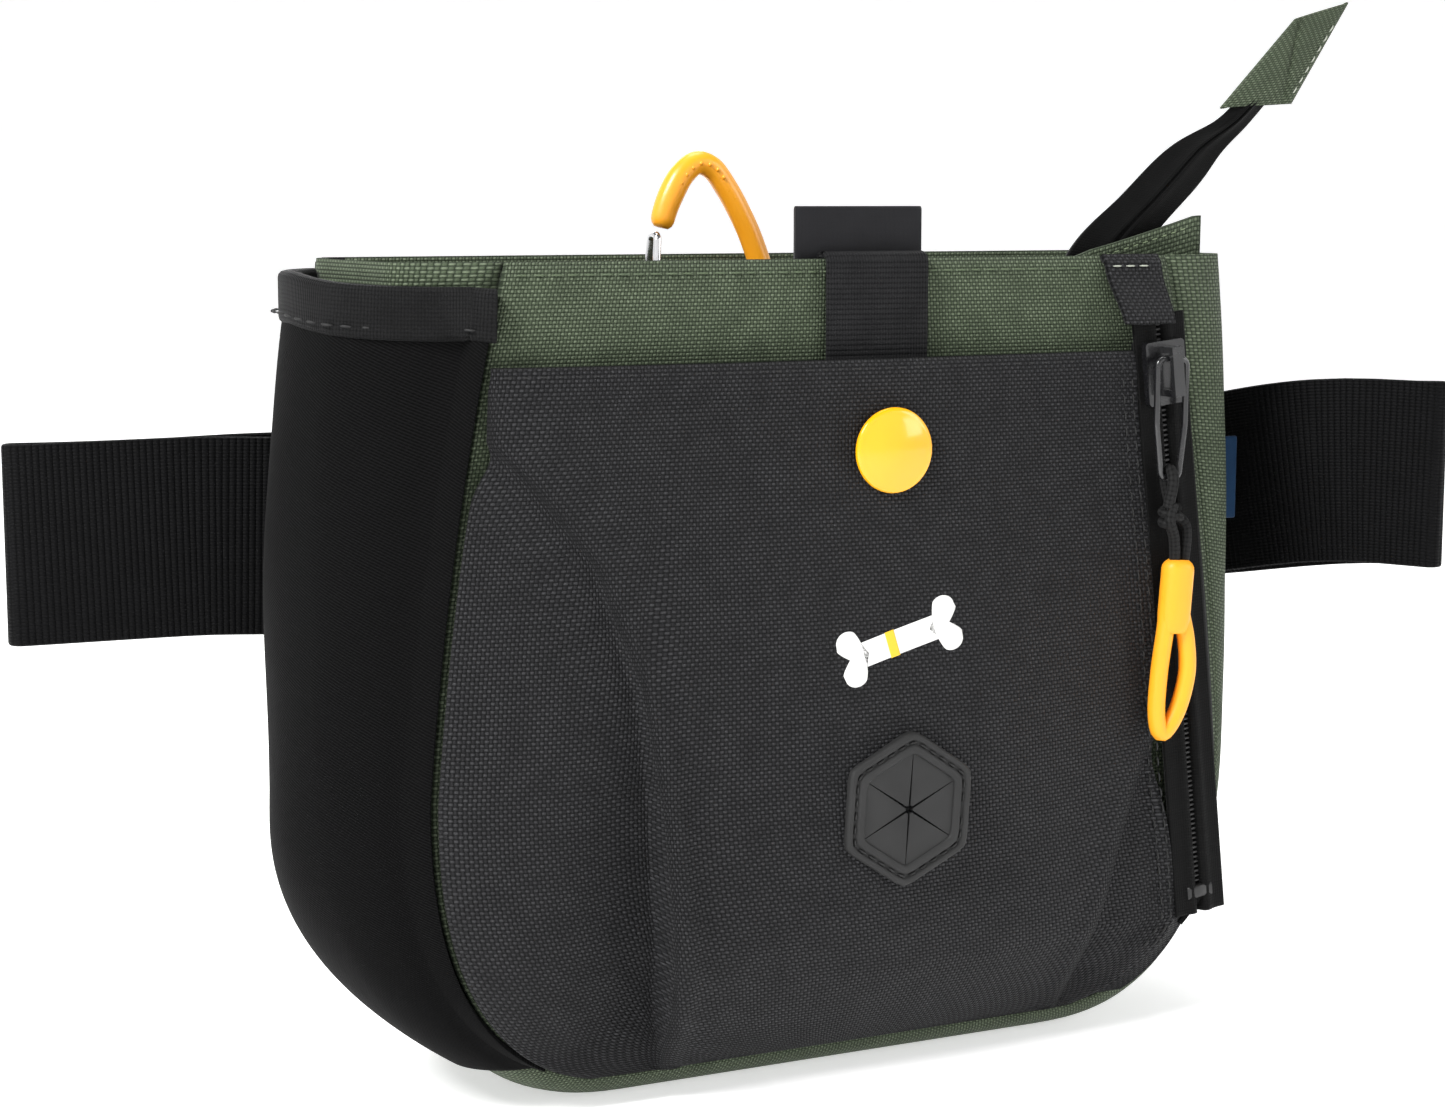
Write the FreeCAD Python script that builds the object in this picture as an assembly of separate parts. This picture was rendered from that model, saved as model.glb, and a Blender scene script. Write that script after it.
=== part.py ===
"""Treat pouch for dog training: a soft belt bag, its pockets, zips, carabiner and waist belt.

Millimetres. +Z is up, the front of the pouch faces -Y and +X is to the viewer's right.
The origin is the centre of the flat stretch of the bottom gusset that the pouch stands on.
"""
import FreeCAD, Part
import math
import os

V = FreeCAD.Vector

# ---------------------------------------------------------------- driving dimensions
HEIGHT = 155.5            # floor to rim
DEPTH = 52.0              # outside of the front panel to outside of the back panel
FRONT_TOP_HALF = 69.5     # half width of the front panel at the rim
FRONT_MAX_HALF = 84.6     # half width of the front panel at its widest
SIDE_TOP_HALF = 88.0      # half width of the gusset at the rim
SIDE_MAX_HALF = 90.0      # half width of the gusset at its widest
SIDE_BULGE_BACK = 2.0     # how much wider the gusset is towards the back
BELLY_Z = 60.0            # height of the widest place
SIDE_BOW = 1.9            # outward bow of the panel's side edge
FLAT_HALF = 45.0          # half length of the straight bottom edge
CORNER_FULLNESS = 0.755   # 0.707 is an ellipse's corner, more is squarer
SEAM_LIFT = 5.5           # height of the front bottom seam above the floor
BACK_SEAM_LIFT = 4.0
BACK_INSET = 3.0          # how far the gusset turns in to meet the back panel
GUSSET_ROUND_FRONT = 9.0  # depth over which the gusset swells out from the front seam
GUSSET_ROUND_BACK = 5.0

PANEL_WALL = 1.8
BACK_WALL = 3.0
GUSSET_WALL = 1.5
GUSSET_SPLIT_Z = BELLY_Z + 2.0
FACING_WALL = 1.0
FACING_DROP = 12.0
TOUCH = 0.05              # gap between cloth layers that are sewn together

# front pocket
POCKET_TOP = HEIGHT - 18.3
POCKET_WALL = 1.4
POCKET_PUFF = 12.0        # how far the pocket stands out at its fullest
POCKET_TOP_PUFF = 5.0     # and at its mouth
POCKET_FOOT = 6.5         # height of its bottom seam
PUFF_LOW_Z = BELLY_Z + 2.0
PUFF_HIGH_Z = HEIGHT - 31.5
POCKET_STEPS = 14
BAG_WALL = 0.5            # flat inner bag of the zip pocket
BAG_TOP = HEIGHT - 47.5
BAG_FOOT = 22.0

# press stud and webbing tab
CENTRE_X = 3.6            # line that the tab, stud and bag port share
TAB_WIDTH = 21.5
TAB_WALL = 1.5
TAB_FOOT = HEIGHT - 44.5
STUD_Z = HEIGHT - 35.2
CAP_DIAMETER = 16.0
CAP_HEIGHT = 2.6
CAP_GAP = 0.3
STUD_DIAMETER = 5.0
SOCKET_DIAMETER = 10.0
SOCKET_HEIGHT = 2.0
SNAP_CLEARANCE = 0.3

# bag port
PORT_Z = 53.8
PORT_ACROSS = 30.0        # across corners
PORT_WALL = 1.8
PORT_RIM = 4.2
PORT_SLIT = 0.45
PORT_HOLE = 1.6
PORT_TURN = -4.0          # degrees, as sewn
PORT_CUT_DIAMETER = 19.0

# stretch pocket on the left side
STRETCH_TOP = HEIGHT - 2.3
STRETCH_WALL = 1.3
STRETCH_GAP = 1.0         # from the gusset to the pocket's sewn edges
STRETCH_BULGE = 14.5
STRETCH_FOOT = 9.0
STRETCH_RISE = 50.0       # height over which the bulge grows to its full size
BINDING_HEIGHT = 9.5
BINDING_WALL = 1.0

# front zip
ZIP_TOP_X = FRONT_TOP_HALF - 5.3
ZIP_TOP_Z = HEIGHT - 13.3
ZIP_FOOT_X = FRONT_MAX_HALF - 7.4
ZIP_FOOT_Z = 26.0
ZIP_LIFT = 3.8            # height of the tapes' middle above the front panel
TAPE_WALL = 0.8
TAPE_WIDTH = 3.2
CHAIN_WIDTH = 5.4
CHAIN_WALL = 2.0
CHAIN_SPLIT = 1.3         # gap between the two halves, where the slider's post runs
POST_WIDTH = 0.6
SLIDER_LENGTH = 12.5
SLIDER_WIDTH = 9.0
SLIDER_WALL = 1.2
ZIP_CLEARANCE = 0.35
SLIDER_DROP = 9.4         # slider's middle below the zip's top end, measured along the zip
STOP_LENGTH = 3.0
WIRE = 1.3
PULL_STANDOFF = 1.4
BRIDGE_WALL = 1.1
PULL_WIDTH = 6.6
PULL_LENGTH = 23.0
CORD = 1.9
PULLER_DROP = 16.5        # from the wire pull's lower end to the puller's top
PULLER_SHIFT = 2.6        # sideways step of the cord between the pull and the puller
PULLER_LEAN = 4.4         # degrees
PULLER_LENGTH = 36.0
PULLER_WIDTH = 7.0
PULLER_BAR = 3.4
COVER_WALL = 1.1
COVER_WIDTH = 15.5
COVER_TOP_SHIFT = -5.2    # cover's middle from the zip's line, at the rim
COVER_FOOT_SHIFT = -2.2   # and at the cover's foot
COVER_LAP = 2.0
BORDER_WALL = 1.2

# top closure
PLACKET_WALL = 1.2
PLACKET_SETBACK = 11.4    # from the front panel's face to the first placket's middle
PLACKET_BACK_GAP = 1.6
PLACKET_DROP = 24.0
PLACKET_RECESS = 3.0
TAIL_SETBACK = 4.4        # from the first placket to the tail
TAIL_BASE_X = SIDE_TOP_HALF - 21.9
TAIL_BASE_Z = HEIGHT + 1.1
TAIL_ANGLE = 43.7
TAIL_BACK = 26.0          # length of tail below the rim
TAIL_REACH = 42.0         # length of tail from the rim to the folded tab
TAIL_WIDTH = 12.0
TAIL_WALL = 0.9
TAIL_CHAIN = 3.6
END_TAB_LENGTH = 38.0
END_TAB_WIDTH = 14.0
END_TAB_WALL = 2.6
END_TAB_ANGLE = 40.0
END_TAB_LAP = 4.5         # how far the folded tab laps over the tape
TOP_SLIDER_REST = -9.0
TOP_SLIDER_LENGTH = 11.0
TOP_SLIDER_WIDTH = 7.2
TOP_PULL_LENGTH = 17.0
TOP_PULL_WIDTH = 5.4

# labels
LABEL_WIDTH = 26.6
LABEL_RISE = 9.6
LABEL_SINK = 8.0
LABEL_WALL = 1.6
SIDE_LABEL_Z = HEIGHT - 46.0
SIDE_LABEL_HEIGHT = 17.0
SIDE_LABEL_REACH = 3.4

# carabiner
CARABINER_INSET = 11.0    # from the back panel's inner face
CARABINER_BAR = 4.6
GATE_WIRE = 1.6
ANCHOR_WIDTH = 12.0
ANCHOR_WALL = 1.3

# waist belt
BELT_HEIGHT = 38.0
BELT_WALL = 1.6
BELT_Z = HEIGHT - 53.0
BELT_GAP = 2.3            # from the back panel to the middle of the first layer
LOOP_GAP = 4.4            # between the middles of the two layers at each loop
SLEEVE_HALF = 58.0
SLEEVE_WALL = 1.4
SLEEVE_MARGIN = 7.0
BELT_CLEARANCE = 0.6
REAR_GAP = 5.3            # from the sleeve to the middle of the rear layer

# side-release buckle
BUCKLE_HEIGHT = BELT_HEIGHT + 12.0
BUCKLE_DEPTH = 9.4
BUCKLE_WALL = 1.6
SOCKET_LENGTH = 36.0
SOCKET_BAR = 6.0
SOCKET_X = -36.0          # left end of the socket half
PLUG_INSERT = 24.0        # depth to which the plug goes in
PLUG_BASE = 7.0
PLUG_SLOT = 7.0
PLUG_BED = 0.9            # from the buckle's front face to the middle of the webbing under the plug
PLUG_KEEPER = 2.0
PRONG_WIDTH = 5.0
BUCKLE_CLEARANCE = 0.4
GLIDE_X = 66.0
GLIDE_LENGTH = 22.0
GLIDE_BAR = 4.0
GLIDE_WALL = 2.0
KEEPER_X = -62.0
KEEPER_WIDTH = 10.0

# ---------------------------------------------------------------- derived places
FRONT_Y = -DEPTH / 2
BACK_Y = DEPTH / 2
RING_FRONT_Y = FRONT_Y + PANEL_WALL
RING_BACK_Y = BACK_Y - BACK_WALL
PLACKET_FRONT_Y = FRONT_Y + PLACKET_SETBACK
TAIL_Y = PLACKET_FRONT_Y + TAIL_SETBACK
CARABINER_Y = RING_BACK_Y - CARABINER_INSET
SWELL_FRONT_Y = RING_FRONT_Y + GUSSET_ROUND_FRONT
SWELL_BACK_Y = RING_BACK_Y - GUSSET_ROUND_BACK
ABOVE_RIM = 6.0           # the lofts run past the rim and are trimmed level with it
BELT_FRONT_Y = BACK_Y + BELT_GAP
SLEEVE_Y = BELT_FRONT_Y + BELT_WALL / 2 + BELT_CLEARANCE
BELT_REAR_Y = SLEEVE_Y + SLEEVE_WALL + REAR_GAP
BUCKLE_Y = BELT_REAR_Y - PLUG_BED
BUCKLE_MID_Y = BUCKLE_Y + BUCKLE_DEPTH / 2
ZIP_ANGLE = math.degrees(math.atan2(ZIP_TOP_X - ZIP_FOOT_X, ZIP_TOP_Z - ZIP_FOOT_Z))
ZIP_LENGTH = math.hypot(ZIP_TOP_X - ZIP_FOOT_X, ZIP_TOP_Z - ZIP_FOOT_Z)
SLIDER_REST = ZIP_LENGTH - SLIDER_DROP
ZIP_Y = FRONT_Y - ZIP_LIFT
ZIP_HALF = CHAIN_WIDTH / 2 + TAPE_WIDTH
PLATE_FRONT_Y = ZIP_Y - CHAIN_WALL / 2 - ZIP_CLEARANCE - SLIDER_WALL
PULL_Y = PLATE_FRONT_Y - WIRE / 2 - PULL_STANDOFF


def keep(name, shape):
    """Write one sub-part, checked to be sound closed solids, to its own STEP file."""
    solids = shape.Solids
    if not solids:
        raise ValueError(name + " has no solid")
    result = solids[0] if len(solids) == 1 else Part.makeCompound(solids)
    if not result.isValid():
        raise ValueError(name + " is not valid")
    result.exportStep(os.path.join("parts", name + ".step"))
    print("%-22s solids %d  volume %.0f" % (name, len(solids), sum(s.Volume for s in solids)))
    return result


# ---------------------------------------------------------------- shape helpers
def box(x0, x1, y0, y1, z0, z1):
    """Box between two corners."""
    return Part.makeBox(x1 - x0, y1 - y0, z1 - z0, V(x0, y0, z0))


def slab(points, y0, y1):
    """Flat outline in X and Z, given thickness from y0 to y1."""
    loop = [V(x, y0, z) for x, z in points]
    face = Part.Face(Part.makePolygon(loop + loop[:1]))
    return face.extrude(V(0, y1 - y0, 0))


def rod_y(x, z, diameter, y0, y1):
    """Round bar along Y."""
    return Part.makeCylinder(diameter / 2, y1 - y0, V(x, y0, z), V(0, 1, 0))


def soft_path(points, radii):
    """Straight runs joined by tangent arcs: one radius for each inner point."""
    edges = []
    start = V(*points[0])
    for index in range(1, len(points) - 1):
        corner = V(*points[index])
        back = (V(*points[index - 1]) - corner).normalize()
        ahead = (V(*points[index + 1]) - corner).normalize()
        half = back.getAngle(ahead) / 2
        setback = radii[index - 1] / math.tan(half)
        bisector = (back + ahead).normalize()
        middle = corner + bisector * (radii[index - 1] / math.sin(half) - radii[index - 1])
        first = corner + back * setback
        last = corner + ahead * setback
        edges.append(Part.LineSegment(start, first).toShape())
        edges.append(Part.Arc(first, middle, last).toShape())
        start = last
    edges.append(Part.LineSegment(start, V(*points[-1])).toShape())
    return Part.Wire(edges)


def sweep(path, profile):
    """Carry a closed profile along a path of lines and arcs."""
    return Part.Solid(Part.Shell(path.makePipeShell([profile], True, False).Faces))


def bar(points, radii, diameter):
    """Round bar bent along a path."""
    path = soft_path(points, radii)
    direction = V(*points[1]) - V(*points[0])
    profile = Part.Wire(Part.makeCircle(diameter / 2, V(*points[0]), direction))
    return sweep(path, profile)


def band(points, radii, wall, z0, z1):
    """Webbing standing on edge, bent along a path seen from above."""
    path = soft_path([(x, y, z0) for x, y in points], radii)
    start = V(points[0][0], points[0][1], z0)
    along = V(points[1][0] - points[0][0], points[1][1] - points[0][1], 0).normalize()
    side = V(-along.y, along.x, 0) * (wall / 2)
    up = V(0, 0, z1 - z0)
    corners = [start - side, start + side, start + side + up, start - side + up]
    return sweep(path, Part.makePolygon(corners + corners[:1]))


def smooth(value):
    """0 to 1 with level ends."""
    value = max(0.0, min(1.0, value))
    return value * value * (3 - 2 * value)


# ---------------------------------------------------------------- the bag's outline
def outline_points(top_half, max_half, foot):
    """Start, middle and end points of the right side's two arcs, rim to bottom."""
    mid_z = (HEIGHT + BELLY_Z) / 2
    corner_x = FLAT_HALF + (max_half - FLAT_HALF) * CORNER_FULLNESS
    corner_z = BELLY_Z - (BELLY_Z - foot) * CORNER_FULLNESS
    side = [(top_half, HEIGHT), ((top_half + max_half) / 2 + SIDE_BOW, mid_z), (max_half, BELLY_Z)]
    corner = [(max_half, BELLY_Z), (corner_x, corner_z), (FLAT_HALF, foot)]
    return side, corner


def circle_through(points):
    """Centre and radius of the circle through three points."""
    (ax, ay), (bx, by), (cx, cy) = points
    d = 2 * (ax * (by - cy) + bx * (cy - ay) + cx * (ay - by))
    a2, b2, c2 = ax * ax + ay * ay, bx * bx + by * by, cx * cx + cy * cy
    x = (a2 * (by - cy) + b2 * (cy - ay) + c2 * (ay - by)) / d
    y = (a2 * (cx - bx) + b2 * (ax - cx) + c2 * (bx - ax)) / d
    return x, y, math.hypot(ax - x, ay - y)


def half_width(section, z):
    """Half width of an outline at height z."""
    side, corner = outline_points(*section)
    x, y, radius = circle_through(side if z >= BELLY_Z else corner)
    return x + math.sqrt(max(radius * radius - (z - y) ** 2, 0.0))


def outline_wire(section, y):
    """Closed outline in the plane y, running past the rim."""
    side, corner = outline_points(*section)
    over = HEIGHT + ABOVE_RIM
    top = half_width(section, over)
    mid = half_width(section, (over + BELLY_Z) / 2)
    edges = [Part.LineSegment(V(-FLAT_HALF, y, section[2]), V(FLAT_HALF, y, section[2])).toShape()]
    a, b, c = corner
    edges.append(Part.Arc(V(c[0], y, c[1]), V(b[0], y, b[1]), V(a[0], y, a[1])).toShape())
    middle_z = (over + BELLY_Z) / 2
    edges.append(Part.Arc(V(a[0], y, a[1]), V(mid, y, middle_z), V(top, y, over)).toShape())
    edges.append(Part.LineSegment(V(top, y, over), V(-top, y, over)).toShape())
    edges.append(Part.Arc(V(-top, y, over), V(-mid, y, middle_z), V(-a[0], y, a[1])).toShape())
    edges.append(Part.Arc(V(-a[0], y, a[1]), V(-b[0], y, b[1]), V(-c[0], y, c[1])).toShape())
    return Part.Wire(edges)


def inset(section, amount):
    """The same outline moved inwards."""
    return (section[0] - amount, section[1] - amount, section[2] + amount)


FRONT_SECTION = (FRONT_TOP_HALF, FRONT_MAX_HALF, SEAM_LIFT)
SWELL_SECTION = (SIDE_TOP_HALF, SIDE_MAX_HALF, 0.0)
REAR_SECTION = (SIDE_TOP_HALF + SIDE_BULGE_BACK, SIDE_MAX_HALF + SIDE_BULGE_BACK, 0.0)
BACK_SECTION = inset(REAR_SECTION, BACK_INSET)
BACK_SECTION = (BACK_SECTION[0], BACK_SECTION[1], BACK_SEAM_LIFT)
STATIONS = [(FRONT_SECTION, RING_FRONT_Y), (SWELL_SECTION, SWELL_FRONT_Y),
            (REAR_SECTION, SWELL_BACK_Y), (BACK_SECTION, RING_BACK_Y)]


def gusset_outside(y, z):
    """Half width of the gusset's outer face at depth y and height z."""
    widths = [(station_y, half_width(section, z)) for section, station_y in STATIONS]
    for (y0, w0), (y1, w1) in zip(widths, widths[1:]):
        if y <= y1:
            return w0 + (w1 - w0) * max(0.0, (y - y0) / (y1 - y0))
    return widths[-1][1]


def pocket_puff(z):
    """How far the front pocket stands out at height z, half way across."""
    foot = math.sin(math.pi / 2 * min(1.0, (z - POCKET_FOOT + 1.5) / 32.0))
    ease = smooth((PUFF_HIGH_Z - z) / (PUFF_HIGH_Z - PUFF_LOW_Z))
    return foot * (POCKET_TOP_PUFF + (POCKET_PUFF - POCKET_TOP_PUFF) * ease)


def zip_x(z):
    """The front zip's middle line at height z."""
    return ZIP_FOOT_X + (z - ZIP_FOOT_Z) * (ZIP_TOP_X - ZIP_FOOT_X) / (ZIP_TOP_Z - ZIP_FOOT_Z)


def pocket_ends(z):
    """Left and right ends of the front pocket at height z."""
    half = half_width(FRONT_SECTION, z)
    return -half + 0.5, min(zip_x(z) - ZIP_HALF - TOUCH, half - ZIP_HALF)


def pocket_rise(x, z):
    """Height of the front pocket's inner face above the front panel."""
    left, right = pocket_ends(z)
    t = max(0.0, min(1.0, (x - left) / (right - left)))
    crown = pocket_puff(z) * math.sin(math.pi * t) ** 0.6
    zip_side = (ZIP_LIFT - POCKET_WALL / 2) * smooth((t - 0.75) / 0.25)
    zip_side *= smooth((z - POCKET_FOOT) / 14.0)
    return max(crown, zip_side)


def pocket_front_y(x, z):
    """Outer face of the front pocket."""
    return FRONT_Y - TOUCH - pocket_rise(x, z) - POCKET_WALL


# ---------------------------------------------------------------- shell of the bag
def make_shell():
    """Front and back panels, the gusset in three lengths, and the rim facings."""
    below_rim = box(-300, 300, -300, 300, -50, HEIGHT)
    front = Part.Face(outline_wire(FRONT_SECTION, FRONT_Y)).extrude(V(0, PANEL_WALL - TOUCH, 0))
    keep("front_panel", front.common(below_rim))
    back = Part.Face(outline_wire(BACK_SECTION, RING_BACK_Y + TOUCH))
    keep("back_panel", back.extrude(V(0, BACK_WALL - TOUCH, 0)).common(below_rim))
    outer = Part.makeLoft([outline_wire(s, y) for s, y in STATIONS], True, True)
    inner = Part.makeLoft([outline_wire(inset(s, GUSSET_WALL), y) for s, y in STATIONS], True, True)
    ring = outer.cut(inner).common(below_rim)
    keep("gusset_bottom", ring.common(box(-300, 300, -100, 100, -50, GUSSET_SPLIT_Z)))
    upper = box(-300, 300, -100, 100, GUSSET_SPLIT_Z, HEIGHT + 1)
    keep("gusset_left", ring.common(upper).common(box(-300, 0, -100, 100, 0, 300)))
    keep("gusset_right", ring.common(upper).common(box(0, 300, -100, 100, 0, 300)))
    low = HEIGHT - FACING_DROP
    half = min(half_width(FRONT_SECTION, low), FRONT_TOP_HALF) - GUSSET_WALL - 1.0
    y = RING_FRONT_Y + TOUCH
    keep("rim_facing_front", box(-half, half, y, y + FACING_WALL, low, HEIGHT))
    half = half_width(BACK_SECTION, HEIGHT) - GUSSET_WALL - 2.0
    y = RING_BACK_Y - TOUCH
    keep("rim_facing_back", box(-half, half, y - FACING_WALL, y, low, HEIGHT))


def pocket_section(z):
    """Closed loop seen from above: the pocket's outer face and its inner face."""
    left, right = pocket_ends(z)
    xs = [left + (right - left) * i / POCKET_STEPS for i in range(POCKET_STEPS + 1)]
    outer = [V(x, pocket_front_y(x, z), z) for x in xs]
    inner = [V(x, pocket_front_y(x, z) + POCKET_WALL, z) for x in reversed(xs)]
    return Part.makePolygon(outer + inner + outer[:1])


def make_front_pocket():
    """The puffed pocket panel with the hole behind the bag port, and the flat bag of the zip pocket."""
    low = [POCKET_FOOT + (PUFF_LOW_Z - POCKET_FOOT) * share for share in (0, 0.045, 0.135, 0.28, 0.5, 0.78)]
    high = [PUFF_LOW_Z + (PUFF_HIGH_Z - PUFF_LOW_Z) * share for share in (0, 0.25, 0.5, 0.75, 1.0)]
    levels = low + high + [POCKET_TOP]
    panel = Part.makeLoft([pocket_section(z) for z in levels], True, True)
    hole = rod_y(CENTRE_X, PORT_Z, PORT_CUT_DIAMETER, FRONT_Y - 60, FRONT_Y - 2)
    keep("front_pocket", panel.cut(hole))
    left, right = pocket_ends(BAG_TOP)
    y = FRONT_Y - TOUCH
    low_left, low_right = pocket_ends(BAG_FOOT)
    corners = [(left + 6, BAG_TOP), (right - 2, BAG_TOP),
               (low_right - 4, BAG_FOOT), (low_left + 8, BAG_FOOT)]
    keep("zip_pocket_bag", slab(corners, y - BAG_WALL, y))


def make_stud():
    """Webbing tab over the rim, with the press stud that closes the pocket's mouth."""
    x0, x1 = CENTRE_X - TAB_WIDTH / 2, CENTRE_X + TAB_WIDTH / 2
    y = FRONT_Y - TOUCH
    keep("webbing_tab", box(x0, x1, y - TAB_WALL, y, TAB_FOOT, HEIGHT))
    tab_y = y - TAB_WALL - TOUCH
    cloth_out = min(pocket_front_y(CENTRE_X + dx, STUD_Z + dz) for dx in (-6, 0, 6) for dz in (-6, 0, 6))
    cloth_in = max(pocket_front_y(CENTRE_X + dx, STUD_Z + dz) for dx in (-5, 0, 5) for dz in (-5, 0, 5))
    cloth_in += POCKET_WALL
    cap_y = cloth_out - CAP_GAP
    radius = (CAP_DIAMETER ** 2 / 4 + CAP_HEIGHT ** 2) / (2 * CAP_HEIGHT)
    ball = Part.makeSphere(radius, V(CENTRE_X, cap_y - CAP_HEIGHT + radius, STUD_Z))
    cut = box(-300, 300, cap_y - CAP_HEIGHT - 1, cap_y, STUD_Z - 50, STUD_Z + 50)
    keep("stud_cap", ball.common(cut))
    deep = min(SOCKET_HEIGHT, tab_y - cloth_in - 0.6)
    ring = rod_y(CENTRE_X, STUD_Z, SOCKET_DIAMETER, cloth_in + TOUCH + 0.2, cloth_in + 0.2 + deep)
    bore = rod_y(CENTRE_X, STUD_Z, STUD_DIAMETER + 2 * SNAP_CLEARANCE, cloth_in - 5, tab_y + 5)
    keep("stud_socket", ring.cut(bore))
    post = rod_y(CENTRE_X, STUD_Z, STUD_DIAMETER, cloth_in + 0.5, tab_y)
    flange = rod_y(CENTRE_X, STUD_Z, SOCKET_DIAMETER, tab_y - 0.5, tab_y)
    keep("stud_post", post.fuse(flange).removeSplitter())


def hexagon(radius, turn):
    """Corners of a hexagon with one corner up, then turned."""
    angles = [math.radians(90 + turn + 60 * i) for i in range(6)]
    return [(CENTRE_X + radius * math.cos(a), PORT_Z + radius * math.sin(a)) for a in angles]


def make_port():
    """Six-sided rubber port: a rim sewn on the cloth and six flaps that part round a small hole."""
    reach = PORT_ACROSS / 2
    places = [(CENTRE_X + reach * math.cos(a), PORT_Z + reach * math.sin(a))
              for a in [math.pi / 6 * i for i in range(12)]]
    y = min(pocket_front_y(x, z) for x, z in places + [(CENTRE_X, PORT_Z)]) - TOUCH
    outer = slab(hexagon(reach, PORT_TURN), y - PORT_WALL, y)
    inner_radius = reach - PORT_RIM
    rim = outer.cut(slab(hexagon(inner_radius, PORT_TURN), y - PORT_WALL - 1, y + 1))
    keep("bag_port_rim", rim)
    corners = hexagon(inner_radius - 0.02, PORT_TURN)
    hole = rod_y(CENTRE_X, PORT_Z, PORT_HOLE, y - 10, y + 10)
    inside = slab(corners, y - 10, y + 10)
    flaps = []
    for (ax, az), (bx, bz) in zip(corners, corners[1:] + corners[:1]):
        mx, mz = (ax + bx) / 2 - CENTRE_X, (az + bz) / 2 - PORT_Z
        length = math.hypot(mx, mz)
        sx, sz = mx / length * PORT_SLIT, mz / length * PORT_SLIT
        tip = (CENTRE_X + sx, PORT_Z + sz)
        ends = [(ax + sx * 0.2, az + sz * 0.2), (bx + sx * 0.2, bz + sz * 0.2)]
        wedge = slab([tip] + ends, y - PORT_WALL + 0.5, y - 0.2)
        flaps.append(wedge.cut(hole).common(inside).Solids[0])
    keep("bag_port_flaps", Part.makeCompound(flaps))


def make_stretch_pocket():
    """Bulging side pocket of stretch cloth and the elastic binding along its mouth."""
    count = 10

    def outside(t, z, extra):
        y = RING_FRONT_Y + (SWELL_BACK_Y - RING_FRONT_Y) * t
        grow = math.sin(math.pi / 2 * min(1.0, (z - STRETCH_FOOT + 5.0) / STRETCH_RISE)) ** 0.8
        bulge = STRETCH_BULGE * grow * math.sin(math.pi * t) ** 0.7
        return V(-(gusset_outside(y, z) + STRETCH_GAP + bulge + extra), y, z)

    def section(z, inner, outer):
        ts = [i / count for i in range(count + 1)]
        out = [outside(t, z, outer) for t in ts]
        back = [outside(t, z, inner) for t in reversed(ts)]
        return Part.makePolygon(out + back + out[:1])

    low = [STRETCH_FOOT + (BELLY_Z - STRETCH_FOOT) * share for share in (0, 0.1, 0.215, 0.37, 0.61, 1.0)]
    levels = low + [BELLY_Z + (STRETCH_TOP - BELLY_Z) * share for share in (0.32, 0.64, 1.0)]
    keep("stretch_pocket", Part.makeLoft([section(z, 0.0, STRETCH_WALL) for z in levels], True, True))
    low = STRETCH_TOP - BINDING_HEIGHT
    inner = STRETCH_WALL + TOUCH
    rings = [section(z, inner, inner + BINDING_WALL) for z in (low, STRETCH_TOP + 0.8)]
    keep("elastic_binding", Part.makeLoft(rings, True, True))


# ---------------------------------------------------------------- front zip
def on_zip(shape):
    """Carry a piece made upright about the zip's foot to the zip's real place."""
    moved = shape.copy()
    moved.rotate(V(0, 0, 0), V(0, 1, 0), ZIP_ANGLE)
    moved.translate(V(ZIP_FOOT_X, ZIP_Y, ZIP_FOOT_Z))
    return moved


def slider_body(length, width, chain_width, tape_wall):
    """Zip slider about its own middle: two plates, a channel for the chain and a bridge for the pull."""
    half_wall = CHAIN_WALL / 2 + ZIP_CLEARANCE
    thick = half_wall + SLIDER_WALL
    half = width / 2
    body = box(-half, half, -thick, thick, -length / 2, length / 2)
    body = body.makeFillet(0.8, [e for e in body.Edges if abs(e.tangentAt(e.FirstParameter).y) > 0.9])
    room = chain_width / 2 + ZIP_CLEARANCE
    channel = box(-room, room, -half_wall, half_wall, -length, length)
    slot = tape_wall / 2 + ZIP_CLEARANCE
    body = body.cut(channel).cut(box(-half - 1, half + 1, -slot, slot, -length, length))
    reach = half_wall + 0.2
    post = box(-POST_WIDTH / 2, POST_WIDTH / 2, -reach, reach, length / 2 - 1.4, length / 2)
    arch = -thick - PULL_STANDOFF - WIRE - 0.3
    bridge = box(-1.2, 1.2, arch - BRIDGE_WALL, -thick + 0.2, -length * 0.36, length * 0.42)
    bridge = bridge.cut(box(-5, 5, arch, -thick, -length * 0.26, length * 0.32))
    return body.fuse(bridge).fuse(post).removeSplitter()


def wire_pull(length, width, top, y):
    """Wire loop that hangs from the bridge: closed at the top and the bottom."""
    half = width / 2
    low = top - length
    points = [(0, y, top), (half, y, top), (half, y, top - length * 0.55),
              (half * 0.62, y, low), (0, y, low)]
    left = [(-x, py, z) for x, py, z in points]
    radii = [1.3, 3.0, 1.3]
    return bar(points, radii, WIRE).fuse(bar(left, radii, WIRE)).removeSplitter()


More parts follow.
